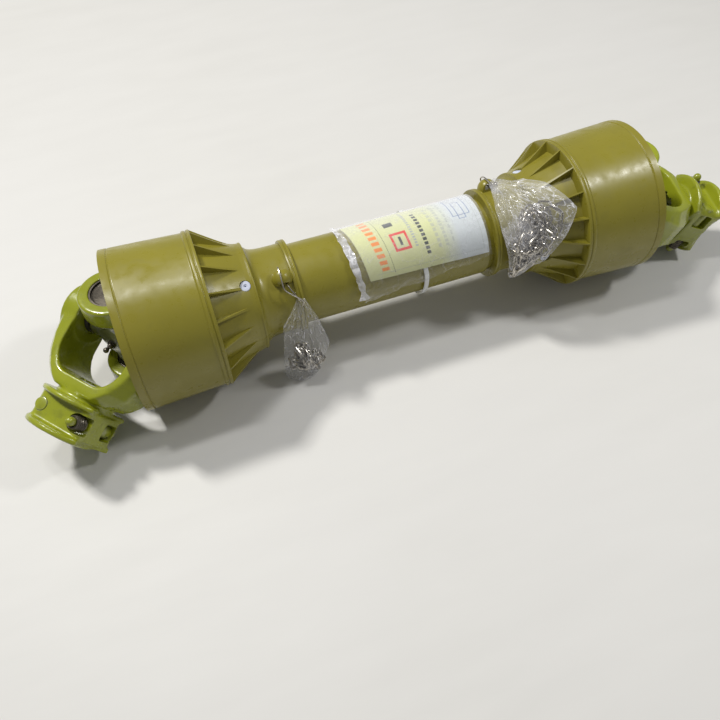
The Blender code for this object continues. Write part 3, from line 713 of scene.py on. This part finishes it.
def end_yoke():
    fork = loft([
        octagon(0.002, 0.0265, ARM_OUT, 0.004),
        octagon(-0.030, 0.0265, ARM_OUT, 0.008),
        octagon(-0.046, 0.0270, 0.0535, 0.012),
        octagon(-0.058, 0.0275, 0.0480, 0.014),
        octagon(-0.066, 0.0280, 0.0400, 0.014),
        octagon(-0.071, 0.0270, 0.0310, 0.011),
    ])
    outline = [(-depth, width) for depth, width in fork_opening(0.030, 0.022, FORK_BOTTOM)]
    opening = prism(outline, -0.05, 0.05, "Y")
    neck = turned([(-0.077, 0.0270), (-0.066, 0.0280)])
    waist_ends = -INNER_FLANGE[1] + 0.001, -OUTER_FLANGE[0] - 0.001
    waist = prism(rounded_square(0.027, 0.030, 0.008), *waist_ends, "X")
    rims = [prism(flange_outline(), -high, -low, "X") for low, high in (INNER_FLANGE, OUTER_FLANGE)]
    nose = turned([(-HUB_END, 0.0245), (-OUTER_FLANGE[0] - 0.002, 0.0245)])
    skin = forged(merged([cut(fork, opening), *ear_bosses("Z"), neck, waist, *rims, nose]))
    bore = prism(spline_outline(), -HUB_END - 0.005, -FORK_BOTTOM + 0.010, "X")
    pin_bore = turned([
        (-0.045, PIN_R + GAP), (PIN_SEAT, PIN_R + GAP), (PIN_SEAT, 0.0088), (0.045, 0.0088)], 40)
    pocket = prism(rounded_square(0.0085, 0.0085, 0.003), 0.018, 0.045, "Z")
    notch = prism(rounded_square(0.0090, 0.0090, 0.003), 0.0205, 0.045, "Z")
    cutters = [bore]
    for side in (1, -1):
        cutters.append(moved(ear_bore(), ear_turn("Z", side)))
        cutters.append(moved(pin_bore, push_pin_turn(side)))
        half_turn = spin(180 if side < 0 else 0, "X")
        cutters.append(moved(pocket, half_turn @ shift(-PIN_STATION, -0.0125)))
        cutters.append(moved(notch, half_turn @ shift(-PIN_STATION, 0.0250)))
    return cut(skin, *cutters)


def push_pin():
    """A head, a locking part, a waist that frees the shaft, and a stem with a round tip."""
    tip = arc((PIN_TIP - STEM_R, 0), (STEM_R, STEM_R), 90, 0, 6)
    tip = [(x, max(0.0003, radius)) for x, radius in tip]
    return turned([
        (PIN_BACK, 0.0052), (PIN_BACK + 0.0003, 0.0060), (PIN_BACK + 0.0012, PIN_R), (0.003, PIN_R),
        (0.0045, 0.0034), (0.0105, 0.0034), (0.012, PIN_R), (PIN_SEAT - GAP, PIN_R),
        (PIN_SEAT - GAP, STEM_R - 0.0008), (PIN_TIP - 0.0075, STEM_R - 0.0008),
        (PIN_TIP - 0.0070, STEM_R),
    ] + tip, 36)


def push_pin_spring():
    start = PIN_SEAT + GAP + SPRING_WIRE_R
    length = PIN_TIP - 0.0075 - start
    steps = SPRING_TURNS * 22
    path = []
    for step in range(steps + 1):
        turn = 2 * pi * SPRING_TURNS * step / steps
        taper = SPRING_R - 0.0006 * step / steps
        path.append(Vector((start + length * step / steps, taper * cos(turn), taper * sin(turn))))
    return wire(path, SPRING_WIRE_R)


def star(radius, x):
    """A ring of the six-lobed tube."""
    points = []
    for turn in full_turn(144):
        reach = radius + STAR_DEPTH * cos(6 * turn)
        points.append((x, reach * cos(turn), reach * sin(turn)))
    return points


def roll_pin_hole():
    hole = turned([(-0.05, ROLL_PIN_R + GAP), (0.05, ROLL_PIN_R + GAP)], 32)
    return moved(hole, shift(ROLL_PIN_STATION) @ spin(90, "Y"))


def tube_yoke(star_radius):
    fork = loft([
        octagon(-0.002, ARM_OUT, 0.0235, 0.004),
        octagon(0.034, ARM_OUT, 0.0235, 0.007),
        octagon(0.050, 0.0535, 0.0235, 0.009),
        octagon(0.063, 0.0480, 0.0240, 0.010),
        octagon(0.074, 0.0410, 0.0250, 0.010),
        octagon(0.082, 0.0330, 0.0250, 0.010),
    ])
    opening = prism(fork_opening(0.044, 0.024, TUBE_YOKE_BOTTOM), -0.05, 0.05, "Z")
    low, high = GUARD_GROOVE
    collar = 0.002
    hub = turned([
        (0.0715, 0.0300), (0.076, TUBE_HUB_R), (low - collar, TUBE_HUB_R),
        (low - collar, GUARD_COLLAR_R), (low, GUARD_COLLAR_R), (low, GUARD_GROOVE_R),
        (high, GUARD_GROOVE_R), (high, GUARD_COLLAR_R), (high + collar, GUARD_COLLAR_R),
        (high + collar, TUBE_HUB_R), (TUBE_HUB_END - 0.001, TUBE_HUB_R),
        (TUBE_HUB_END, TUBE_HUB_R - 0.001),
    ], 96)
    root = turned([(0.070, 0.0295), (0.080, 0.0345)])
    skin = forged(merged([cut(fork, opening), *ear_bosses("Y"), root]))
    ends = TUBE_YOKE_BOTTOM - 0.010, TUBE_HUB_END + 0.005
    socket = loft([star(star_radius + GAP, x) for x in ends])
    bores = [moved(ear_bore(), ear_turn("Y", side)) for side in (1, -1)]
    return cut(joined(skin, hub), socket, roll_pin_hole(), *bores)


# Guard

def slope(ends, x):
    """Radius at a station of a straight cone with these ends."""
    (start, first), (end, last) = ends
    return first + (last - first) * (x - start) / (end - start)


def bell_shell(neck_bore):
    outside = eased([
        (0.000, 0.0788), (0.0070, 0.0786), (0.0074, 0.0778), (0.0080, 0.0778), (0.0084, 0.0784),
        (0.040, 0.0770), (0.076, 0.0752), (0.0768, 0.0766), (0.0796, 0.0768), (0.0800, 0.0758),
        (0.0808, 0.0758), (0.0812, 0.0768), (0.084, 0.0768), (0.0844, 0.0660),
    ], 0.0007, closed=False) + eased([
        (0.100, 0.0600), (0.120, 0.0532), (0.1245, 0.0526), (0.1250, 0.0532), (0.1268, 0.0530),
        (0.1272, 0.0500),
    ], 0.0006, closed=False) + eased([
        (0.1284, 0.0480), (0.132, 0.0448), (0.139, 0.0434), (0.148, 0.0431), (0.157, NECK_R),
    ], 0.003, 4, closed=False) + eased([
        (0.1618, 0.0431), (0.1620, 0.0453), (0.1642, NECK_RING_R), (0.1646, 0.0448),
        (0.1654, 0.0448), (0.1658, NECK_RING_R), (0.168, NECK_RING_R - 0.0002),
    ], 0.0005, closed=False)
    inside = [
        (0.168, neck_bore), (0.1295, neck_bore), (0.1285, 0.0405), (0.1245, 0.0490),
        (0.120, 0.0500), (0.0843, 0.0628), (0.0810, 0.0645), (0.0810, 0.0722), (0.040, 0.0742),
        (0.0005, 0.0760), (0.000, 0.0764),
    ]
    return turned_ring([(MOUTH + x, radius) for x, radius in outside + inside])


def bell_ribs():
    """Thin gussets, full height at the flange and run out a little before the cone's lip."""
    start, end = MOUTH + 0.0835, MOUTH + 0.1165
    height, root, tip = 0.0106, 0.0026, 0.0012
    outline = [(start, slope(CONE, start) - 0.0015)]
    for share in shares(8):
        x = start + (end - start) * share
        outline.append((x, slope(CONE, x) + height * (1 - share) ** 1.15))
    outline.append((end, slope(CONE, end) - 0.0015))
    rib = prism(outline, -0.5, 0.5, "Y")
    for vertex in rib.vertices:  # thinner towards the top
        share = max(0.0, min(1.0, (vertex.co.z - slope(CONE, vertex.co.x)) / 0.010))
        vertex.co.y *= root - (root - tip) * share
    return merged(moved(rib, spin((number + 0.5) * 360 / RIBS, "X")) for number in range(RIBS))


def lug_turn(angle):
    return spin(90 - angle, "X")


def three_round(mesh, angle):
    """Copies at the three lugs of the bearing ring."""
    upright = shift(sum(GUARD_GROOVE) / 2) @ spin(-90, "Y")
    return merged(moved(mesh, lug_turn(angle + third) @ upright) for third in (0, 120, 240))


def eyelet(angle):
    """A dome on the neck that narrows to its sides, and the hole through it."""
    loops = []
    curve = arc((0, 0), (EYELET_HALF, EYELET_TOP - EYELET_FOOT), 180, 0, 20)
    for step in range(13):
        side = -1 + 2 * step / 12
        squeeze = sqrt(max(0.0, 1 - (side * 0.86) ** 2))
        wide, tall = 0.45 + 0.55 * squeeze, 0.55 + 0.45 * squeeze
        outline = [(x * wide, EYELET_FOOT + z * tall) for x, z in curve]
        outline = [(-EYELET_HALF * wide, 0.0425), *outline, (EYELET_HALF * wide, 0.0425)]
        loops.append([(EYELET_STATION + x, side * 0.0062, z) for x, z in outline])
    hole_r = 0.0046
    arch = [(x, 0.0460 + z) for x, z in arc((0, 0), (hole_r, hole_r), 180, 0, 18)]
    arch = [(EYELET_STATION + x, z) for x, z in [(-hole_r, 0.0448), *arch, (hole_r, 0.0448)]]
    return [moved(mesh, lug_turn(angle)) for mesh in (loft(loops), prism(arch, -0.02, 0.02, "Y"))]


def guard_bell(neck_bore, angle):
    dome, hole = eyelet(angle)
    window = turned([(0.045, WINDOW_R), (0.060, WINDOW_R)], 40)
    solid = joined(bell_shell(neck_bore), bell_ribs(), dome)
    return cut(solid, hole, three_round(window, angle))


def guard_bearing_ring(angle):
    low, high = GUARD_GROOVE[0] + GAP, GUARD_GROOVE[1] - GAP
    inner = GUARD_GROOVE_R + 0.0005
    ring = turned_ring([(low, inner), (low, 0.0470), (high, 0.0470), (high, inner)])
    face = WINDOW_R - GAP
    lug = turned([
        (0.045, 0.0022), (0.0485, 0.0022), (0.0487, face), (0.0528, face), (0.0533, face - 0.0006),
        (0.0533, 0.0018), (0.0527, 0.0016),
    ], 40)
    dot = turned([(0.050, 0.0008), (0.056, 0.0008)], 16)
    return cut(joined(ring, three_round(lug, angle)), three_round(dot, angle))


def guard_tube(radius, end):
    inner = radius - GUARD_TUBE_WALL
    edge = 0.0005
    return turned_ring([
        (TUBE_SEAT, inner), (TUBE_SEAT, radius), (end - edge, radius), (end, radius - edge),
        (end, inner),
    ])


# Things that come with the guard

def between(stops, value):
    """Straight steps from stop to stop, each a value and its result."""
    for (low, first), (high, last) in zip(stops, stops[1:]):
        if value <= high:
            share = max(0.0, (value - low) / (high - low))
            return first + (last - first) * share
    return stops[-1][1]


def left_bag_layer(level):
    """Back film of the left bag at a level, which way it faces, and its bulge."""
    z = FLOOR + 0.001 + 0.104 * level
    low = between([(FLOOR, 0.136), (0.003, 0.142), (0.026, 0.159)], z)
    high = between([(FLOOR, 0.174), (-0.040, 0.186), (0.003, 0.176), (0.026, 0.167)], z)
    neck = 0.0475
    y = -sqrt(neck**2 - max(0.0, z) ** 2)
    stations = [low + (high - low) * step / BAG_STEPS for step in range(BAG_STEPS + 1)]
    bulge = between([(0.0, 0.013), (0.3, 0.017), (0.7, 0.010), (1.0, 0.003)], level)
    return [Vector((x, y, z)) for x in stations], Vector((0, -1, 0)), bulge


def right_bag_layer(level):
    """The same of the right bag, which lies on the neck and the ribs."""
    angle = -20 + 130 * level
    low = between([(-20, 0.381), (45, 0.371), (70, 0.371), (110, 0.380)], angle)
    high = between([
        (-20, 0.386), (5, 0.410), (30, 0.429), (50, 0.441), (80, 0.423), (110, 0.390)], angle)
    neck = 0.0472
    rests = [RIB_TOPS[1], (MOUTH + 0.127, 0.0545), (MOUTH + 0.133, neck)]
    back = []
    for step in range(BAG_STEPS + 1):
        x = low + (high - low) * step / BAG_STEPS
        station = JOINT_SPACING - x
        on_ribs = station < RIB_TOPS[1][0]
        radius = slope(RIB_TOPS, station) if on_ribs else max(neck, between(rests, station))
        back.append(around(angle, radius + 0.0034, x))
    bulge = between([(0.0, 0.003), (0.3, 0.013), (0.6, 0.014), (1.0, 0.003)], level)
    return back, around(angle, 1.0, 0.0), bulge


def in_bag(layer, share, rise):
    """A point in a bag: rise 0 is on its back film and 1 on its front film."""
    back, out, bulge = layer
    whole = min(int(share * BAG_STEPS), BAG_STEPS - 1)
    base = back[whole].lerp(back[whole + 1], share * BAG_STEPS - whole)
    depth = 0.0026 + bulge * sin(pi * min(1.0, max(0.0, share))) ** 0.7
    return base + out * depth * rise


def crumple(point, scale):
    """Flat facets between ridges."""
    distances = noise.voronoi(point * scale)[0]
    return min(1.0, distances[1] - distances[0]) + 0.4 * noise.noise(point * scale * 1.7)


def chain_bag(layer_at, seed):
    """A pouch of thin film with creases that run to its tied mouth."""
    offset = Vector((seed * 3.1, seed * 1.7, 0.0))
    loops = []
    for level in shares(BAG_LEVELS):
        layer = layer_at(level)
        films = []
        for rise, way in ((0.0, 1), (1.0, -1)):
            film = []
            for share in shares(BAG_PLACES):
                edge = sin(pi * share)
                point = in_bag(layer, share, rise)
                fold = crumple(point + offset * (1 + rise), 95.0) * 0.0016 * way * (0.25 + edge)
                pleat = 0.0009 * sin(share * 31 + seed + rise * 2) * max(0.0, level - 0.55) * 2
                film.append(point + layer[1] * (fold + pleat * edge))
            films.append(film)
        loops.append(films[0] + films[1][::-1])
    return loft(loops)


def chain_link(centre, along, flat):
    """A stretched ring of wire."""
    across = along.cross(flat).normalized()
    straight, bend = (LINK_LENGTH - LINK_WIDTH) / 2, LINK_WIDTH / 2
    path = []
    for turn in full_turn(18):
        c, s = cos(turn), sin(turn)
        reach = straight * (1 if c > 0.01 else -1 if c < -0.01 else 0)
        path.append(centre + along * (reach + bend * c) + across * (bend * s))
    return wire(path, LINK_WIRE_R, 6, closed=True)


def safety_chain(layer_at, seed, links, middle, size, across):
    """Links that coil up in the bag's lower part."""
    rng = random.Random(seed)
    phases = [rng.uniform(0, 2 * pi) for _ in range(6)]
    samples = []
    turns = links / 9.0
    for t in shares(900):
        swing = 2 * pi * turns * t
        wide = 0.22 + 0.13 * sin(5.1 * t + phases[0])
        tall = size * (0.45 + 0.55 * sin(3.3 * t * turns / 2 + phases[1]))
        level = middle + tall * sin(swing + phases[2])
        share = across + wide * cos(swing + phases[3]) + 0.07 * sin(17 * t + phases[4])
        rise = 0.47 + 0.27 * sin(2.3 * swing + phases[5])
        level = min(0.72, max(0.06, level))
        share = min(0.84, max(0.16, share))
        samples.append(in_bag(layer_at(level), share, rise))
    spacing = sum((b - a).length for a, b in zip(samples, samples[1:])) / links
    meshes = []
    travelled, wanted = 0.0, spacing / 2
    for a, b in zip(samples, samples[1:]):
        step_length = (b - a).length
        while travelled + step_length >= wanted and len(meshes) < links:
            centre = a.lerp(b, (wanted - travelled) / max(step_length, 1e-9))
            along = (b - a).normalized()
            angle = pi / 2 * (len(meshes) % 2) + rng.uniform(-0.4, 0.4)
            flat = Matrix.Rotation(angle, 3, along) @ along.orthogonal().normalized()
            meshes.append(chain_link(centre, along, flat))
            wanted += spacing
        travelled += step_length
    return merged(meshes)


def bag_wire(side):
    """A wire that goes through the eyelet, over it, and down to the bag's mouth."""
    angle = LUG_ANGLES[side]
    station = EYELET_STATION if side == "left" else JOINT_SPACING - EYELET_STATION
    mouth_x, mouth_angle, mouth_r = BAG_MOUTHS[side]
    stops = [
        (0.0040, angle - 15, 0.0520), (0.0018, angle - 7.5, 0.0485), (0.0, angle, 0.0476),
        (-0.0012, angle + 7.5, 0.0490), (-0.0020, angle + 9.5, 0.0535),
        (-0.0022, angle + 3, 0.0562), (-0.0026, angle - 6, 0.0562), (-0.0010, angle - 15, 0.0540),
    ]
    points = [around(mouth_angle, mouth_r, mouth_x - 0.0006)]
    points += [around(turn, radius, station + x) for x, turn, radius in stops]
    points.append(around(mouth_angle + 1, mouth_r + 0.001, mouth_x + 0.001))
    points.append(around(mouth_angle - 5, mouth_r, mouth_x))
    return wire(smooth_path(points, 8), 0.00075)


def booklet_range(share):
    """Angles of the booklet's lower and upper edge at a share of its length."""
    return 27 - 5 * share, 124 + 10 * share


def manual_booklet():
    """A booklet of several leaves, curved round the tube."""
    start, end = BOOKLET
    inner, outer = OUTER_GUARD_R + 0.0005, OUTER_GUARD_R + 0.0020
    steps, stations = 72, 60
    points, uvs, faces = [], [], []
    for layer in (0, 1):
        for share in shares(stations):
            low, high = booklet_range(share)
            for turn in shares(steps):
                slant = BOOKLET_LEAN * (1 - turn)
                x = start + slant + (end - start - slant) * share
                wave = 0.00025 * sin(share * 9 + turn * 5) * layer
                radius = (outer + wave) if layer else inner
                points.append(around(low + (high - low) * turn, radius, x))
                uvs.append((share, turn))
    row = steps + 1
    offset = (stations + 1) * row
    for station in range(stations):
        for step in range(steps):
            a = station * row + step
            quad = (a, a + 1, a + row + 1, a + row)
            faces.append(quad)
            faces.append(tuple(index + offset for index in reversed(quad)))
    rim = [station * row for station in range(stations + 1)]
    rim += [stations * row + step for step in range(1, row)]
    rim += [station * row + steps for station in range(stations - 1, -1, -1)]
    rim += list(range(steps - 1, 0, -1))
    for here, after in zip(rim, rim[1:] + rim[:1]):
        faces.append((here, after, after + offset, here + offset))
    mesh = new_mesh(points, faces)
    layer = mesh.uv_layers.new(name="sheet")
    for loop in mesh.loops:
        layer.data[loop.index].uv = uvs[loop.vertex_index]
    return mesh


def sleeve_point(share, turn, rise=0.0):
    """A point of the clear sleeve, which sags below the booklet at its loose left end."""
    slant = BOOKLET_LEAN * (1 - turn)
    start, end = BOOKLET[0] - 0.008 + slant, BOOKLET[1] + 0.002
    x = start + (end - start) * share
    low, high = booklet_range(share)
    low -= 3 + 26 * (1 - share) + 2 * sin(share * 17)
    angle = low + (high + 3 - low) * turn
    point = around(angle, OUTER_GUARD_R, x)
    loose = min(1.0, max(0.0, 1 - turn * 6) + max(0.0, 1 - share * 12))
    lift = 0.0026 + 0.0003 * crumple(point, 60.0) + loose * 0.0022 * (0.4 + crumple(point, 110.0))
    return around(angle, OUTER_GUARD_R + lift + rise, x)


def booklet_sleeve():
    turns = shares(80)
    loops = []
    for share in shares(70):
        inner = [sleeve_point(share, turn) for turn in turns]
        outer = [sleeve_point(share, turn, SLEEVE_FILM) for turn in turns]
        loops.append(inner + outer[::-1])
    return loft(loops)


def sleeve_gather():
    """The sleeve's left end, drawn together in a creased roll with a loose tail."""
    loops = []
    for share in shares(110):
        centre = sleeve_point(0.0, 0.05 + 0.94 * share, 0.0004)
        out = Vector((0, centre.y, centre.z)).normalized()
        thick = 0.0004 + 0.0012 * sin(pi * share) ** 0.7 + 0.0022 * max(0.0, 1 - share * 10)
        loop = []
        for side, turn in enumerate(full_turn(12)):
            fold = thick * (1 + 0.75 * noise.noise(Vector((share * 9, side * 1.9, 4.0))))
            lift = out * (0.6 * fold * sin(turn))
            loop.append(centre + lift + Vector((2.3 * fold * cos(turn), 0, 0)))
        loops.append(loop)
    return loft(loops)


def cable_tie():
    """A strap round the tube and through the booklet, with a locking head and a cut tail."""
    start, end = TIE_HIDDEN
    half = TIE_WIDTH / 2
    steps = 120
    loops = []
    for step in range(steps):
        angle = 360 * step / steps
        turn = angle if angle < 200 else angle - 360
        hidden = max(0.0, 1 - max(start - turn, turn - end, 0) / 7)
        radius = OUTER_GUARD_R + 0.0035 - 0.0025 * hidden
        loops.append([around(angle, radius - depth, TIE_STATION + x) for x, depth in (
            (-half, 0.0010), (-half, 0.0003), (-half + 0.0005, 0),
            (half - 0.0005, 0), (half, 0.0003), (half, 0.0010))])
    strap = loft(loops, closed=True)
    head = prism(rounded_square(0.0036, 0.0024, 0.0009, 4), -0.0036, 0.0036, "X")
    tail = prism(rounded_square(0.0070, 0.0006, 0.0005, 3), -half, half, "X")
    turn = lug_turn(TIE_HEAD_ANGLE)
    head = moved(head, turn @ shift(TIE_STATION, 0, OUTER_GUARD_R + 0.0046))
    tilt = Matrix.Rotation(0.25, 4, "X")
    tail = moved(tail, turn @ shift(TIE_STATION, 0.0080, OUTER_GUARD_R + 0.0062) @ tilt)
    return joined(strap, head, tail)


# Assembly

def end_place(side):
    """From an end's frame to the left cross's."""
    if side == "left":
        return Matrix.Identity(4)
    return shift(JOINT_SPACING) @ spin(180, "Z")


def build_side(side):
    def put(piece, mesh, slot, part, matrix=None, **options):
        return show(f"{side}_{piece}_look", mesh, slot, f"{side}_{part}", matrix, **options)

    angle, roll = LUG_ANGLES[side], SHAFT_ROLL
    star_radius, neck_bore, layer = STAR_R, OUTER_GUARD_R + 0.00035, left_bag_layer
    if side == "right":
        angle, roll = 180 - angle, -roll
        star_radius, neck_bore = STAR_R + STAR_CLEARANCE + STAR_WALL, INNER_GUARD_R + 0.00035
        layer = right_bag_layer
    end = end_place(side)
    shaft = end @ spin(roll, "X")
    joint = shaft @ spin(-DROOP[side], "Y")
    yoke = joint @ spin(SWING[side], "Z")
    put("cross", cross(), "bright_steel", "cross", joint)
    put("nipple", grease_nipple(), "spring_steel", "grease_nipple", joint)
    put("end_yoke", end_yoke(), "green_enamel", "end_yoke", yoke, sharp=50)
    put("tube_yoke", tube_yoke(star_radius), "green_enamel", "tube_yoke", shaft, sharp=50)
    cap, ring, seal = bearing_cap(), snap_ring(), cross_seal()
    # The caps in the end yoke's ears keep their green enamel. Those in the tube yoke's ears are
    # green too, but they get the dark steel look: painted shade for the bell's shadow over their
    # recesses.
    for owner, axis, parent, look in (
        ("end", "Z", yoke, "green_enamel"), ("tube", "Y", shaft, "spring_steel"),
    ):
        for number, way in ((1, 1), (2, -1)):
            turn = parent @ ear_turn(axis, way)
            place = f"{owner}_bearing_cap_{number}"
            put(f"{owner}_cap_{number}", cap, "green_enamel", place, turn, look=look)
            put(f"{owner}_ring_{number}", ring, "spring_steel", f"{owner}_snap_ring_{number}", turn)
            put(f"{owner}_seal_{number}", seal, "seal_rubber", f"{owner}_seal_{number}", turn)
    pin, spring = push_pin(), push_pin_spring()
    for number, way in ((1, 1), (2, -1)):
        turn = yoke @ push_pin_turn(way)
        put(f"pin_{number}", pin, "green_enamel", f"push_pin_{number}", turn)
        coil = put(f"spring_{number}", spring, "spring_steel", f"pin_spring_{number}", turn)
        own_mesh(coil)
    put("bell", guard_bell(neck_bore, angle), "guard_plastic", "guard_bell", end)
    put("bearing_ring", guard_bearing_ring(angle), "white_nylon", "guard_bearing_ring", end)
    seed = BAG_SEEDS[side]
    put("bag", chain_bag(layer, seed), "clear_film", "chain_bag", sharp=24, look=side + "_film")
    put("chain", safety_chain(layer, seed, *CHAINS[side]), "zinc_plate", "safety_chain")
    put("wire", bag_wire(side), "zinc_plate", "bag_tie")


def build_object():
    for side in ("left", "right"):
        build_side(side)
    outer = guard_tube(OUTER_GUARD_R, OUTER_GUARD_END)
    inner = guard_tube(INNER_GUARD_R, INNER_GUARD_END)
    show("outer_tube_look", outer, "guard_plastic", "outer_guard_tube")
    show("inner_tube_look", inner, "guard_plastic", "inner_guard_tube", end_place("right"))
    show("booklet_look", manual_booklet(), "printed_paper", "manual_booklet")
    for name, mesh in (("sleeve", booklet_sleeve()), ("sleeve_gather", sleeve_gather())):
        show(name + "_look", mesh, "clear_film", body="left_guard", look=name + "_film")
    show("cable_tie_look", cable_tie(), "tie_plastic", "cable_tie")
    for name in ("inner_star_tube", "outer_star_tube", "left_roll_pin", "right_roll_pin"):
        for place in frame["nodes"][name].material_slots:
            place.material = LOOKS["green_enamel" if "star" in name else "spring_steel"]


# Surroundings

def floor_material():
    material, tree, shader = new_material("board_look")
    fibre = grain(tree, 9.0, 6.0, (1.0, 4.0, 1.0))
    broad = grain(tree, 2.2, 3.0)
    fibre = spread(tree, fibre, 0.3, 0.7)
    colour = mixed(tree, fibre, (0.655, 0.645, 0.615, 1), (0.68, 0.67, 0.64, 1))
    colour = mixed(tree, spread(tree, broad, 0.35, 0.65, 0.0, 0.5), colour, (0.69, 0.68, 0.66, 1))
    feed(tree, shader, {"Base Color": colour, "Roughness": 0.55})
    return material


FLOOR_HALF = 6.0
LIT_POINT = (0.27, 0.0, 0.0)
WORLD_STRENGTH = 0.22
WHITE = (1.0, 1.0, 1.0)
LAMPS = (  # name, place, size, power, colour
    ("key", (-0.99, 1.58, 2.86), 0.40, 84.0, (1.0, 0.985, 0.95)),
    ("ceiling_1", (-0.14, 0.20, 1.35), 0.13, 3.4, WHITE),
    ("ceiling_2", (0.05, 0.20, 1.35), 0.10, 1.8, WHITE),
    ("ceiling_3", (1.35, -0.22, 1.35), 0.20, 8.0, WHITE),
)
CAMERA_PLACE = (0.0721, -0.4547, 0.5626)
CAMERA_YAW = 19.87
CAMERA_PITCH = 56.66
CAMERA_LENS = 36.46


def build_stage():
    corners = [(-FLOOR_HALF, -FLOOR_HALF), (FLOOR_HALF, -FLOOR_HALF)]
    corners += [(-x, -y) for x, y in corners]
    mesh = bpy.data.meshes.new("floor")
    mesh.from_pydata([HOME @ Vector((x, y, FLOOR)) for x, y in corners], [], [(0, 1, 2, 3)])
    mesh.materials.append(floor_material())
    placed("floor", mesh)

    world = bpy.data.worlds.new("world")
    bpy.context.scene.world = world
    world.use_nodes = True
    background = world.node_tree.nodes["Background"]
    background.inputs["Color"].default_value = (0.97, 0.98, 1.0, 1)
    background.inputs["Strength"].default_value = WORLD_STRENGTH
    for name, place, size, power, tint in LAMPS:
        data = bpy.data.lights.new(name, "AREA")
        data.size = size
        data.energy = power
        data.color = tint
        lamp = placed(name, data)
        lamp.location = HOME @ Vector(place)
        lamp.rotation_mode = "QUATERNION"
        lamp.rotation_quaternion = (Vector(LIT_POINT) - Vector(place)).to_track_quat("-Z", "Y")


def build_camera():
    yaw, pitch = radians(CAMERA_YAW), radians(CAMERA_PITCH)
    level = cos(pitch)
    forward = Vector((sin(yaw) * level, cos(yaw) * level, -sin(pitch)))
    right = Vector((cos(yaw), -sin(yaw), 0))
    up = right.cross(forward)
    data = bpy.data.cameras.new("camera")
    data.lens = CAMERA_LENS
    data.sensor_width = 36.0
    data.clip_start, data.clip_end = 0.01, 30.0
    camera = placed("camera", data)
    turn = Matrix((right, up, -forward)).transposed().to_4x4()
    camera.matrix_world = HOME @ shift(*CAMERA_PLACE) @ turn
    bpy.context.scene.camera = camera


build_object()
build_stage()
build_camera()
bpy.context.scene.view_settings.view_transform = "Standard"
